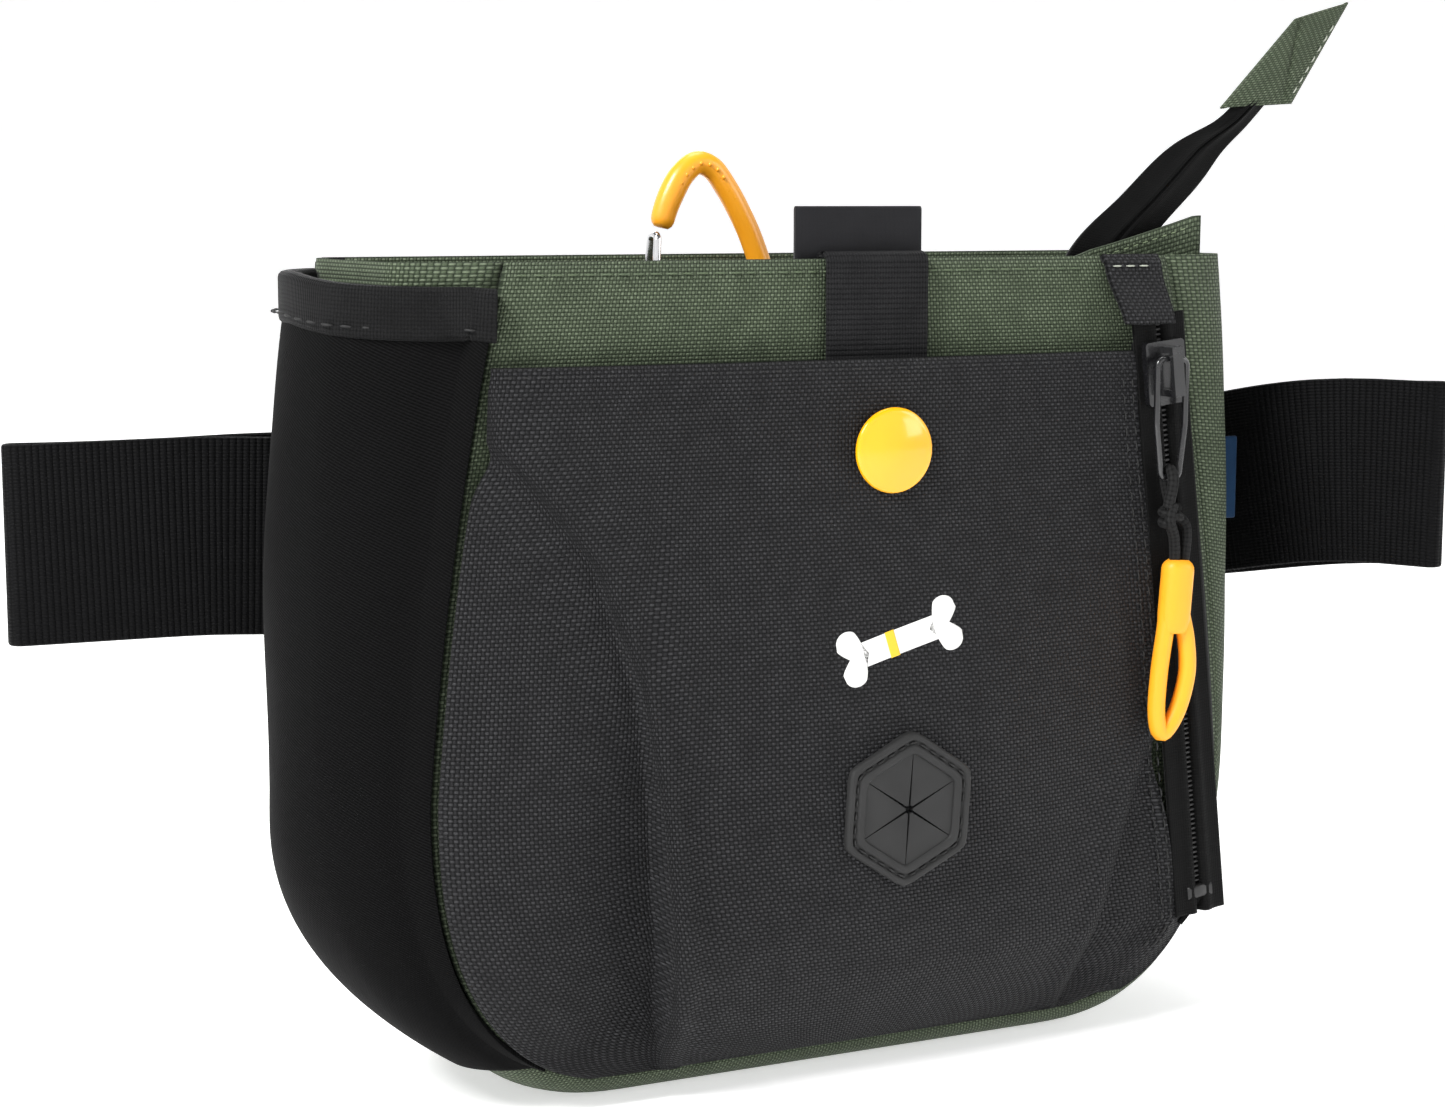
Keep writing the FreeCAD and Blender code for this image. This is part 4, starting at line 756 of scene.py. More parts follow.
# %% Pocket surface
POCKET_FOOT = node_box("front_pocket")[0][2]
POCKET_TOP = node_box("front_pocket")[1][2]
POCKET_PUFF, POCKET_TOP_PUFF = 12.0, 5.0
PUFF_LOW_Z, PUFF_HIGH_Z = 62.0, 124.0
POCKET_WALL = 1.4
ZIP_TOP = np.array([FRONT_TOP_HALF - 5.3, HEIGHT - 13.3])
ZIP_FOOT = np.array([FRONT_MAX_HALF - 7.4, 26.0])
ZIP_Y = FRONT_Y - 3.8
ZIP_HALF = 5.9


def zip_x(z):
    """The front zip's middle line at height z."""
    return ZIP_FOOT[0] + (z - ZIP_FOOT[1]) * (ZIP_TOP[0] - ZIP_FOOT[0]) / (ZIP_TOP[1] - ZIP_FOOT[1])


def pocket_puff(z):
    """How far the pocket stands out half way across, at height z."""
    foot = np.sin(math.pi / 2 * np.clip((z - POCKET_FOOT + 1.5) / 32.0, 0, 1))
    ease = smooth((PUFF_HIGH_Z - z) / (PUFF_HIGH_Z - PUFF_LOW_Z))
    return foot * (POCKET_TOP_PUFF + (POCKET_PUFF - POCKET_TOP_PUFF) * ease)


def pocket_ends(z):
    """Left and right ends of the pocket at height z."""
    half = front_half(z)
    return -half + 0.5, np.minimum(zip_x(z) - ZIP_HALF - 0.05, half - ZIP_HALF)


def tuck(x, z, line_z, line_x, depth, edge, reach):
    """Step of a tuck: nothing on the lapping side, -depth just past its edge, back to nothing beyond.

    d is the distance past the tuck's line; the drop is depth * smooth(d / edge) * exp(-(d / reach)^2)."""
    d = np.interp(z, line_z, line_x) - x
    size = np.interp(z, line_z, depth)
    return size, d, smooth(d / edge) * np.exp(-(np.clip(d, 0, None) / reach) ** 2)


LEFT_TUCK_Z = [2.0, 6.0, 19.0, 38.0, 57.0, 80.0, 102.0, 117.0, 124.0]
LEFT_TUCK_X = [-41.5, -42.0, -42.0, -43.5, -45.0, -48.5, -55.5, -67.0, -74.0]
LEFT_TUCK_DEPTH = [3.0, 3.5, 5.8, 6.3, 4.8, 2.5, 0.9, 0.2, 0.0]
RIGHT_TUCK_Z = [2.0, 6.0, 14.0, 26.0, 38.0, 50.0, 60.0, 68.0]
RIGHT_TUCK_X = [44.0, 44.5, 47.0, 51.0, 55.0, 60.0, 65.0, 70.0]
RIGHT_TUCK_DEPTH = [1.5, 2.0, 2.6, 2.6, 2.2, 1.4, 0.6, 0.0]


def pocket_y(x, z, folds=True):
    """Outer face of the front pocket: a crown across, a lift at the zip's edge, and the tucks."""
    left, right = pocket_ends(z)
    t = np.clip((x - left) / (right - left), 0, 1)
    crown = pocket_puff(z) * np.sin(math.pi * t).clip(0) ** 0.6
    zip_side = (3.8 - POCKET_WALL / 2) * smooth((t - 0.75) / 0.25) * smooth((z - POCKET_FOOT) / 14.0)
    rise = np.maximum(crown, zip_side)
    if folds:
        room = np.clip(rise - 0.4, 0, None)
        size, d, step = tuck(x, z, LEFT_TUCK_Z, LEFT_TUCK_X, LEFT_TUCK_DEPTH, 1.0, 15.0)
        rise = rise - np.minimum(size * step, room)
        rise = rise + 0.28 * size * np.exp(-((d + 2.2) / 2.6) ** 2) * (d < 1.0)
        size, d, step = tuck(-x, z, RIGHT_TUCK_Z, [-v for v in RIGHT_TUCK_X], RIGHT_TUCK_DEPTH, 1.0, 9.0)
        rise = rise - np.minimum(size * step, np.clip(rise - 0.4, 0, None))
        rise = rise + 0.25 * size * np.exp(-((d + 2.0) / 2.4) ** 2) * (d < 1.0)
        rise = rise + 0.9 * np.exp(-((x + 62 - (z - 60) * 0.1) / 9) ** 2) * np.exp(-((z - 45) / 28) ** 2)
        slack = np.sin(x * 0.16 + z * 0.05) * 0.25 + np.sin(x * 0.07 - z * 0.11 + 1.0) * 0.3
        rise = rise + slack * smooth(rise / 4.0) * smooth((z - 12) / 20)
        dip = np.exp(-((x + 28 + (z - 118) * 0.55) / 7.0) ** 2) * np.exp(-((z - 122) / 17) ** 2)
        rise = rise - 1.1 * dip
    return FRONT_Y - 0.05 - rise - POCKET_WALL


def tuck_grid(z, count):
    """x of each column at each height: evenly spread, but drawn in close to the two tucks' edges."""
    left, right = pocket_ends(z)
    u = np.linspace(0, 1, count)
    columns = left[:, None] + (right - left)[:, None] * u[None, :]
    for line_z, line_x in ((LEFT_TUCK_Z, LEFT_TUCK_X), (RIGHT_TUCK_Z, RIGHT_TUCK_X)):
        line = np.interp(z, line_z, line_x)[:, None]
        d = columns - line
        columns = line + d * (1 - 0.8 * np.exp(-(d / 7.0) ** 2))
    return np.clip(columns, left[:, None], right[:, None])


rows = POCKET_FOOT + (POCKET_TOP - POCKET_FOOT) * np.concatenate([np.linspace(0, 0.12, 16)[:-1],
                                                                  np.linspace(0.12, 1, 110)])
columns = tuck_grid(rows, 190)
heights = np.broadcast_to(rows[:, None], columns.shape)
depths = pocket_y(columns, heights)
hem = np.clip((heights - (POCKET_TOP - 1.0)) / 1.0, 0, 1)
depths = depths + 0.7 * hem ** 2 - 0.35 * np.exp(-((heights - POCKET_TOP + 4.0) / 3.2) ** 2)
depths = depths + 0.5 * np.exp(-((heights - POCKET_TOP + 7.8) / 0.5) ** 2) * 0.4
grid = np.stack([columns, depths, heights], -1)
pocket = sheet_piece("front_pocket_cloth", grid)
thicken(pocket, 1.1)
finish_piece(pocket, "pouch", "charcoal_cloth", charcoal_cloth, "front_pocket", "zip_pocket_bag",
             lining=lining)
print("pocket stands out to y", round(float(depths.min()), 1))

# %% Pocket hem and edge stitches
def pocket_line(x, z, lift=0.05):
    """Points on the pocket's outer face."""
    x, z = np.broadcast_arrays(np.asarray(x, float), np.asarray(z, float))
    return np.stack([x, pocket_y(x, z) - lift, z], -1)


left, right = (float(v) for v in pocket_ends(np.array(POCKET_TOP)))
line = pocket_line(np.linspace(left + 1, right - 1, 200), POCKET_TOP - 1.7, -0.1)
stitch_row("pocket_hem_stitches", line, (0, -1, 0), thread_dark, "pouch", "charcoal_cloth", thick=0.36)
for name, inset in (("pocket_zip_stitches_outer", 1.2), ("pocket_zip_stitches_inner", 3.3)):
    z = np.linspace(POCKET_FOOT + 10, POCKET_TOP - 1, 160)
    stitch_row(name, pocket_line(pocket_ends(z)[1] - inset, z), (0.3, -1, 0), thread_dark, "pouch",
               "charcoal_cloth", thick=0.34)

# %% [markdown]
# ## Stretch pocket
# The left side is covered by a pocket of stretch cloth. Filled with nothing, it still stands away
# from the bag in one smooth bulge that starts at the front seam and ends near the back. An elastic
# band is folded over its mouth. The bulge is a power of a sine across, and it grows up the first
# third of the height.

# %% Stretch pocket surface
STRETCH_FOOT, STRETCH_TOP = node_box("stretch_pocket")[0][2], node_box("stretch_pocket")[1][2]
STRETCH_FRONT_Y, STRETCH_BACK_Y = FRONT_Y - 1.0, SWELL_BACK_Y
BINDING_HEIGHT = 9.4


def stretch_point(t, z, extra=0.0):
    """Outer face at t from the front seam to the back one: the gusset plus bulge * sin(pi t)^0.7."""
    y = STRETCH_FRONT_Y + (STRETCH_BACK_Y - STRETCH_FRONT_Y) * t
    rise = np.clip((z - STRETCH_FOOT + 5.0) / 50.0, 0, 1)
    grow = np.sin(math.pi / 2 * rise) ** 0.8
    full = np.interp(z, [9, 60, 120, 143, 155], [15.6, 15.6, 13.6, 12.0, 11.0])
    bulge = full * grow * np.sin(math.pi * t).clip(0) ** 0.7
    fold = 0.35 * np.sin(z * 0.11 + t * 5.0) * np.sin(math.pi * t) * smooth((150 - z) / 40)
    return np.stack([-(gusset_half(y, z) + 0.7 + bulge + fold + extra), y, z], -1)


def mouth_dip(t):
    """The mouth's edge comes down towards the front seam, in millimetres."""
    return -2.8 * np.clip(1 - t / 0.5, 0, 1)


t = 0.5 - 0.5 * np.cos(np.linspace(0, math.pi, 71))
share = np.linspace(0, 1, 121) ** 1.15
share, grid_t = np.meshgrid(share, t, indexing="ij")
grid_z = STRETCH_FOOT + (STRETCH_TOP - 1.5 + mouth_dip(grid_t) - STRETCH_FOOT) * share
stretch = sheet_piece("stretch_pocket_cloth", stretch_point(grid_t, grid_z), flip=True)
thicken(stretch, 1.2)
finish_piece(stretch, "pouch", "stretch_cloth", stretch_cloth, "stretch_pocket")

# %% Elastic binding
t = 0.5 - 0.5 * np.cos(np.linspace(0, math.pi, 64))
mouth = stretch_point(t, STRETCH_TOP - BINDING_HEIGHT / 2 + 0.5 + mouth_dip(t), extra=-0.35)
binding = profile_along("elastic_binding_band", mouth, flat_profile(3.1, BINDING_HEIGHT, 1.2, 4), (0, 0, 1))
finish_piece(binding, "pouch", "elastic", elastic_cloth, "elastic_binding")
seam = stretch_point(t, STRETCH_TOP - BINDING_HEIGHT + 2.7 + mouth_dip(t), extra=1.75)[2:-6]
_, outwards, _ = frames_along(seam, (0, 0, 1))
stitch_row("binding_stitches", seam, -outwards, thread_dark, "pouch", "elastic", length=2.4, gap=1.2,
           thick=0.5)

# %% [markdown]
# ## Front zip
# The zip is a reverse coil: two velvety tapes meet over the coil, and only the ribs of the coil show
# in the groove. Each tape is a narrow sheet that dips at the groove; the coil behind it is a row of
# small bars. The right tape runs on down to the seam as a slanted strip.

# %% Zip tapes and coil
ZIP_WAY = np.array([ZIP_TOP[0] - ZIP_FOOT[0], 0.0, ZIP_TOP[1] - ZIP_FOOT[1]])
ZIP_LENGTH = float(np.linalg.norm(ZIP_WAY))
ZIP_WAY = ZIP_WAY / ZIP_LENGTH
ZIP_SIDE = np.array([ZIP_WAY[2], 0.0, -ZIP_WAY[0]])
ZIP_START = np.array([ZIP_FOOT[0], ZIP_Y, ZIP_FOOT[1]])


def zip_point(side, run, out=0.0):
    """Point at a distance to the right of the zip's line, along it, and out of it."""
    side, run, out = (np.asarray(v, float)[..., None] for v in np.broadcast_arrays(side, run, out))
    return ZIP_START + ZIP_SIDE * side + ZIP_WAY * run - np.array([0, 1.0, 0]) * out


def tape_height(d):
    """A tape's face at distance d from the groove: it dips in, swells over the coil, then lies flat."""
    return 1.0 - 1.5 * np.exp(-(d / 0.55) ** 2) + 0.55 * np.exp(-((d - 1.8) / 1.1) ** 2)


run = np.linspace(-3.0, ZIP_LENGTH + 2.0, 130)
across = np.concatenate([np.linspace(0.03, 3.2, 14), np.linspace(3.6, ZIP_HALF, 6)])
for side, name, node in ((-1, "zip_tape_left_cloth", "zip_tape_left"),
                         (1, "zip_tape_right_cloth", "zip_tape_right")):
    grid_run, grid_across = np.meshgrid(run, across, indexing="ij")
    tape = sheet_piece(name, zip_point(grid_across * side, grid_run, tape_height(grid_across)),
                       flip=side < 0)
    thicken(tape, 0.7)
    finish_piece(tape, "pouch", "zip_tape", tape_cloth, node)
spread = np.linspace(2.5, ZIP_LENGTH, 2 * int(ZIP_LENGTH / 2))
a = np.arange(6) / 6 * 2 * math.pi
ends = np.array([-2.5, -0.9, 0.9, 2.5])
ring = zip_point(ends[None, :, None], spread[:, None, None] + np.cos(a) * 0.36, 0.15 + np.sin(a) * 0.45
                 - 0.35 * (np.abs(ends)[None, :, None] > 2))
base = (np.arange(len(spread)) * 24)[:, None, None]
quads = (grid_faces(4, 6, wrap_columns=True)[None] + base).reshape(-1, 4).tolist()
caps = (np.stack([np.arange(6)[::-1], np.arange(6) + 18])[None] + base).reshape(-1, 6).tolist()
coil = add_mesh("zip_coil", ring.reshape(-1, 3), quads + caps)
finish_piece(coil, "pouch", "zip_coil", coil_plastic, "zip_chain")
stop = profile_along("zip_stop", zip_point([-2.9, 0, 2.9], 1.4, 0.2), flat_profile(2.8, 2.6, 0.6),
                     (0, -1, 0))
finish_piece(stop, "pouch", "zip_coil", coil_plastic, "zip_bottom_stop")

# %% Strip from the tape to the seam
z = np.linspace(20.0, ZIP_TOP[1] - 0.5, 90)
t = np.linspace(0, 1, 12)
near = np.minimum(zip_x(z) + ZIP_HALF - 0.3, front_half(z) - 1.2)
far = np.maximum(front_half(z) - 2.0, near + 0.4)
x = near[:, None] + (far - near)[:, None] * t
fall = smooth(t)[None, :] * np.ones_like(x)
y = (ZIP_Y - 1.0) * (1 - fall) + (FRONT_Y - 0.6) * fall - 0.35 * np.sin(math.pi * fall)
y = np.where(z[:, None] < 26, y + (26 - z[:, None]) / 12 * (FRONT_Y - 0.5 - y), y)
strip = sheet_piece("zip_side_strip", np.stack([x, y, np.broadcast_to(z[:, None], x.shape)], -1))
thicken(strip, 0.8)
finish_piece(strip, "pouch", "zip_tape", tape_cloth, "zip_border")

# %% Charcoal fold under the zip's foot
z = np.linspace(POCKET_FOOT + 1.5, 27.0, 24)
x0 = pocket_ends(z)[1] - 2.0
x1 = front_half(z) - 0.3
x = x0[:, None] + (x1 - x0)[:, None] * np.linspace(0, 1, 24)
face = FRONT_Y - 1.3 - 3.1 * smooth((z[:, None] - 6) / 22) * (1 - smooth(np.linspace(0, 1, 24)) ** 2)
fold = sheet_piece("zip_foot_fold", np.stack([x, np.broadcast_to(face, x.shape), np.broadcast_to(z[:, None],
                                                                                                 x.shape)],
                                                                                                 -1))
thicken(fold, 1.0)
finish_piece(fold, "pouch", "charcoal_cloth", charcoal_cloth)

# %% Cover over the zip's top
low, high = node_box("zip_top_cover")
z = np.linspace(low[2] + 2.2, HEIGHT + 0.3, 30)
t = np.linspace(-1, 1, 24)
share = (z - low[2]) / (HEIGHT - low[2])
middle = (zip_x(low[2]) - 2.6) * (1 - share) + (zip_x(HEIGHT) - 2.4) * share
x = middle[:, None] + t[None, :] * (5.6 + 0.8 * share[:, None])
y = low[1] - 0.5 + 0.5 * t[None, :] ** 2 - 0.2 * np.sin(t[None, :] * 3 + z[:, None] * 0.2)
y = y + 4.6 * smooth((z[:, None] - low[2] - 1.5) / 12.0) + 1.2 * smooth((z[:, None] - HEIGHT + 1.5) / 1.8)
cover = sheet_piece("zip_cover_cloth", np.stack([x, np.broadcast_to(y, x.shape), np.broadcast_to(z[:, None],
                                                                                                 x.shape)],
                                                                                                 -1))
thicken(cover, 1.2)
finish_piece(cover, "pouch", "charcoal_cloth", charcoal_cloth, "zip_top_cover")
across = np.linspace(-5.6, 5.6, 20)
line = np.stack([middle[24] + across, np.interp(across, x[24] - middle[24], y[24]) - 0.1,
                 np.full(20, z[24])], -1)
stitch_row("cover_stitches", line, (0, -1, 0), thread_light, "pouch", "charcoal_cloth", length=2.0)

# %% [markdown]
# ## Slider, wire pull, cord and puller
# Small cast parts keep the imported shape, with their edges rounded by a bevel on a merged copy. The
# cord is a pair of braided strands with a hitch, and the puller is a soft moulding whose two strands
# close in a loop, so those three are carried along paths instead.

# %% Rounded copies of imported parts
def rounded_copy(node, name, body, slot, material, bevel, segments=2):
    """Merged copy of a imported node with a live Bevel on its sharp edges."""
    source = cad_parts[node].data
    points = np.zeros(len(source.vertices) * 3)
    source.vertices.foreach_get("co", points)
    corner = np.zeros(len(source.loops), np.int32)
    source.loops.foreach_get("vertex_index", corner)
    _, first, same = np.unique(np.round(points.reshape(-1, 3), 7), axis=0, return_index=True,
                               return_inverse=True)
    faces = same.ravel()[corner].reshape(-1, 3)
    faces = faces[(faces[:, 0] != faces[:, 1]) & (faces[:, 1] != faces[:, 2]) & (faces[:, 0] != faces[:,
                                                                                                      2])]
    merged = bpy.data.meshes.new(name)
    merged.from_pydata(points.reshape(-1, 3)[first].tolist(), [], faces.tolist())
    merged.polygons.foreach_set("use_smooth", [True] * len(faces))
    obj = bpy.data.objects.new(name, merged)
    bpy.context.scene.collection.objects.link(obj)
    edge = obj.modifiers.new("Rounding", "BEVEL")
    edge.width = bevel * MM
    edge.segments = segments
    edge.limit_method = "ANGLE"
    edge.angle_limit = math.radians(35)
    edge.use_clamp_overlap = True
    edge.harden_normals = True
    return finish_piece(obj, body, slot, material, node)


rounded_copy("zip_slider", "zip_slider_body", "front_slider", "black_metal", lacquer, 0.45, 3)
rounded_copy("zip_pull", "zip_wire_pull", "front_pull", "black_metal", lacquer, 0.05, 1)

# %% Cord
cord_cloth = ribbed("braided_cord", (0.004, 0.004, 0.004), (0.022, 0.022, 0.022), 0.9, 0.9, depth=0.1)
pull_low = node_box("zip_pull")[0]
pull_high = node_box("zip_pull")[1]
grip_high = node_box("zip_puller")[1]
PULL_X = (pull_low[0] + pull_high[0]) / 2
PULL_Y = (pull_low[1] + pull_high[1]) / 2
GRIP_X = PULL_X + 2.6
loop_top = pull_low[2] + 0.7
grip_z = grip_high[2] - 0.4
drop = loop_top - grip_z
strands = [
    [(PULL_X - 0.9, PULL_Y - 1.0, loop_top - drop * 0.35), (PULL_X - 0.4, PULL_Y - 1.9, loop_top - 0.6),
     (PULL_X, PULL_Y, loop_top + 1.5), (PULL_X + 0.3, PULL_Y + 1.8, loop_top - 0.8),
     (PULL_X + 1.6, PULL_Y + 1.0, loop_top - drop * 0.4),
     (GRIP_X + 1.7, PULL_Y + 0.2, loop_top - drop * 0.62),
     (GRIP_X + 0.9, PULL_Y + 0.2, grip_z - 3.0)],
    [(PULL_X + 0.2, PULL_Y - 1.2, loop_top - drop * 0.3),
     (PULL_X - 0.6, PULL_Y - 1.3, loop_top - drop * 0.5),
     (GRIP_X - 1.4, PULL_Y - 0.4, loop_top - drop * 0.75), (GRIP_X - 0.9, PULL_Y, grip_z - 3.0)]]
for i, points in enumerate(strands):
    strand = profile_along(f"pull_cord_{i}", spline(points, 60), round_profile(1.1), (0.3, -1, 0.1))
    finish_piece(strand, "front_puller", "cord", cord_cloth, *(["pull_cord"] if i == 0 else []))
angle = np.linspace(0, 3.4 * math.pi, 70)
knot_z = loop_top - drop * 0.36 - angle / (3.4 * math.pi) * 3.4
knot = np.stack([PULL_X + 0.5 + 1.75 * np.cos(angle), PULL_Y + 1.55 * np.sin(angle), knot_z], -1)
finish_piece(profile_along("pull_cord_hitch", knot, round_profile(0.9), (0, 0, 1)), "front_puller", "cord",
             cord_cloth)

# %% Puller
LEAN = math.radians(4.4)


def leaning(points):
    """Points about the puller's top, (x, y, z), leaned and moved to their place."""
    p = np.asarray(points, float)
    x = p[:, 0] * math.cos(LEAN) + p[:, 2] * math.sin(LEAN)
    z = -p[:, 0] * math.sin(LEAN) + p[:, 2] * math.cos(LEAN)
    return np.stack([x + GRIP_X, p[:, 1] + PULL_Y, z + grip_z + 0.4], -1)


line = leaning(np.stack([np.zeros(24), np.zeros(24), np.linspace(0, -14.5, 24)], -1))
ends = np.array([0.62, 0.86, 0.97] + [1.0] * 15 + [0.99, 0.98, 0.96, 0.93, 0.88, 0.8])
sleeve = profile_along("puller_sleeve", line, flat_profile(6.6, 5.0, 2.3, 5), (0, -1, 0), scale=ends)
finish_piece(sleeve, "front_puller", "orange_rubber", orange_rubber, "zip_puller")
left_strand = [(-1.6, 0, -8), (-1.75, 0, -14), (-2.3, 0, -22), (-2.2, 0, -30), (-0.9, 0, -34.4),
               (1.1, 0, -33.2),
               (3.1, -0.2, -28.6), (4.1, -0.3, -22), (3.2, -0.2, -15.5), (1.6, 0, -10), (1.4, 0, -6)]
loop = profile_along("puller_loop", spline(leaning(left_strand), 110), flat_profile(3.4, 3.5, 1.65, 5),
                     (0, -1, 0))
finish_piece(loop, "front_puller", "orange_rubber", orange_rubber)
print("puller hangs to z", round(float(min(v.co.z for v in loop.data.vertices) / MM), 1))

# %% [markdown]
# ## Webbing tab, labels and stud
# A short length of fine webbing is sewn over the rim behind the stud. The label is a folded strip of
# satin that stands behind it. The stud's cap is a turned shape: a shallow dome with a rolled edge,
# so its profile is swept round its own axis.

# %% Tab over the rim
def rounded_path(points, radii, step=1.2):
    """Straight runs joined by arcs of the given radii, as one array of points."""
    p = [np.asarray(v, float) for v in points]
    line = [p[0]]
    for before, corner, after, radius in zip(p, p[1:], p[2:], radii):
        a = (before - corner) / np.linalg.norm(before - corner)
        b = (after - corner) / np.linalg.norm(after - corner)
        half = math.acos(float(np.clip(a @ b, -1, 1))) / 2
        cut = radius / math.tan(half)
        middle = corner + (a + b) / np.linalg.norm(a + b) * radius / math.sin(half)
        start, end = corner + a * cut - middle, corner + b * cut - middle
        total = math.pi - 2 * half
        count = max(4, int(total * radius / step), int(total / 0.25))
        f = np.linspace(0, 1, count)[:, None]
        line += list(middle + (np.sin((1 - f) * total) * start + np.sin(f * total) * end) / math.sin(total))
    line.append(p[-1])
    line = np.array(line)
    gaps = np.linalg.norm(np.diff(line, axis=0), axis=1)
    filled = [line[:1]]
    for a, b, gap in zip(line, line[1:], gaps):
        count = max(1, int(gap / (step * 4)))
        filled.append(a + (b - a) * (np.arange(1, count + 1) / count)[:, None])
    return np.concatenate(filled)


tab_low, tab_high = node_box("webbing_tab")
tab_y = tab_low[1] + 0.55
tab_line = rounded_path([(CENTRE_X, tab_y + 0.6, tab_low[2]), (CENTRE_X, tab_y, POCKET_TOP + 2),
                         (CENTRE_X, tab_y, HEIGHT + 0.7),
                         (CENTRE_X, tab_y + 4.4, HEIGHT + 0.7), (CENTRE_X, tab_y + 4.4, HEIGHT - 11)],
                         [30, 1.5, 1.5])
tab = profile_along("webbing_tab_strap", tab_line, flat_profile(tab_high[0] - tab_low[0], 1.2, 0.5),
                    (0, -1, 0.001))
finish_piece(tab, "pouch", "webbing", tab_cloth, "webbing_tab")

# %% Labels
label_low, label_high = node_box("rim_label")
x = (label_low[0] + label_high[0]) / 2
y = (label_low[1] + label_high[1]) / 2
line = np.array([(x + dx, y + 0.25 * math.sin(dx * 0.16), (label_low[2] + label_high[2]) / 2)
                 for dx in np.linspace(-(label_high[0] - label_low[0]) / 2,
                                       (label_high[0] - label_low[0]) / 2, 30)])
rim_label = profile_along("rim_label_satin", line, flat_profile(1.5, label_high[2] - label_low[2], 0.7, 4),
                          (0, 0, 1))
finish_piece(rim_label, "pouch", "label_cloth", label_cloth, "rim_label")
side_low, side_high = node_box("side_label")
line = np.linspace((side_low[0] - 1.5, side_low[1] + 0.6, (side_low[2] + side_high[2]) / 2),
                   (side_high[0], side_low[1] + 0.9, (side_low[2] + side_high[2]) / 2), 12)
side_label = profile_along("side_label_satin", line, flat_profile(1.0, side_high[2] - side_low[2], 0.45, 3),
                           (0, 0, 1))
finish_piece(side_label, "pouch", "navy_cloth", navy_cloth, "side_label")

# %% Stud cap
def turned(name, profile, centre, count=72):
    """Profile of (radius, distance out of the cloth) pairs swept round the -Y axis through centre."""
    profile = np.asarray(profile, float)
    angle = np.arange(count) / count * 2 * math.pi
    x = centre[0] + profile[:, :1] * np.cos(angle)
    z = centre[2] + profile[:, :1] * np.sin(angle)
    y = centre[1] - np.broadcast_to(profile[:, 1:], x.shape)
    faces = grid_faces(len(profile), count, wrap_columns=True).tolist()
    faces += [list(range(count))[::-1], [(len(profile) - 1) * count + i for i in range(count)]]
    return add_mesh(name, np.stack([x, y, z], -1).reshape(-1, 3), faces)


cap_low, cap_high = node_box("stud_cap")
cap_centre = ((cap_low[0] + cap_high[0]) / 2, cap_high[1] + 0.3, (cap_low[2] + cap_high[2]) / 2)
a = np.linspace(0, math.pi / 2, 10)
edge = [(7.2, -0.2)] + [(7.2 + 0.8 * math.cos(-math.pi / 2 + v * 2),
                         0.9 + 0.8 * math.sin(-math.pi / 2 + v * 2)) for v in a[1:8]]
dome = [(r, 1.55 + 1.1 * (1 - (r / 7.0) ** 2)) for r in (6.9, 6.0, 5.0, 4.0, 3.0, 2.0, 1.0, 0.3)]
finish_piece(turned("stud_cap_dome", edge + dome, cap_centre), "pouch", "yellow_gloss", yellow_gloss,
             "stud_cap")
rounded_copy("stud_socket", "stud_socket_ring", "pouch", "press_metal", press_steel, 0.2)
rounded_copy("stud_post", "stud_post_pin", "pouch", "press_metal", press_steel, 0.2)

# %% [markdown]
# ## Bag port
# The rubber port is a hexagon with soft corners: a ring with a sewn groove round it and six flaps
# that meet at a small hole. A hexagon's radius at an angle is its flat's distance divided by the
# cosine of the angle from that flat's middle, so the same profile can be turned round as for the cap.

# %% Port ring
PORT_Z = (node_box("bag_port_rim")[0][2] + node_box("bag_port_rim")[1][2]) / 2
PORT_TURN = math.radians(-4)
PORT_Y = node_box("bag_port_rim")[1][1]


def hex_radius(radius, angle, soft=0.02):
    """Radius of a hexagon of that corner radius at an angle, its corners pulled in a little."""
    from_flat = (angle - PORT_TURN - math.radians(90)) % math.radians(60) - math.radians(30)
    sharp = math.cos(math.radians(30)) / np.cos(from_flat)
    return radius * (sharp - soft * smooth((np.abs(from_flat) - 0.38) / 0.145))


def hex_ring(name, profile, count=144):
    """Closed ring profile of (corner radius, distance out) pairs carried round the hexagon."""
    profile = np.asarray(profile, float)
    angle = np.arange(count) / count * 2 * math.pi
    radius = hex_radius(profile[:, :1], angle[None, :])
    points = np.stack([CENTRE_X + radius * np.cos(angle),
                       PORT_Y - np.broadcast_to(profile[:, 1:], radius.shape),
                       PORT_Z + radius * np.sin(angle)], -1)
    return add_mesh(name, points.reshape(-1, 3), grid_faces(len(profile), count, True, True))


ring_profile = [(14.9, -1.6), (15.0, 1.1), (14.8, 1.55), (14.3, 1.8), (13.7, 1.75), (13.45, 1.2),
                (12.75, 1.2),
                (12.5, 1.75), (12.1, 1.85), (11.2, 1.85), (10.85, 1.6), (10.75, 1.2), (10.75, -0.2)]
finish_piece(hex_ring("bag_port_ring", ring_profile), "pouch", "black_rubber", black_rubber, "bag_port_rim")
rounded_copy("bag_port_flaps", "bag_port_flap_set", "pouch", "black_rubber", black_rubber, 0.22)
angle = np.linspace(0, 2 * math.pi, 400)
radius = hex_radius(13.1, angle)
line = np.stack([CENTRE_X + radius * np.cos(angle), np.full(400, PORT_Y - 1.25),
                 PORT_Z + radius * np.sin(angle)], -1)
stitch_row("bag_port_stitches", line, (0, -1, 0), thread_dark, "pouch", "black_rubber", length=1.8, gap=0.7,
           thick=0.45)

# %% [markdown]
# ## Printed motif
# A plain bone shape is printed on the pocket. The print is a thin skin that follows the cloth. Its
# outline is worked out from two parameters: the half height grows into lobes at the ends, and the
# length is notched between them.

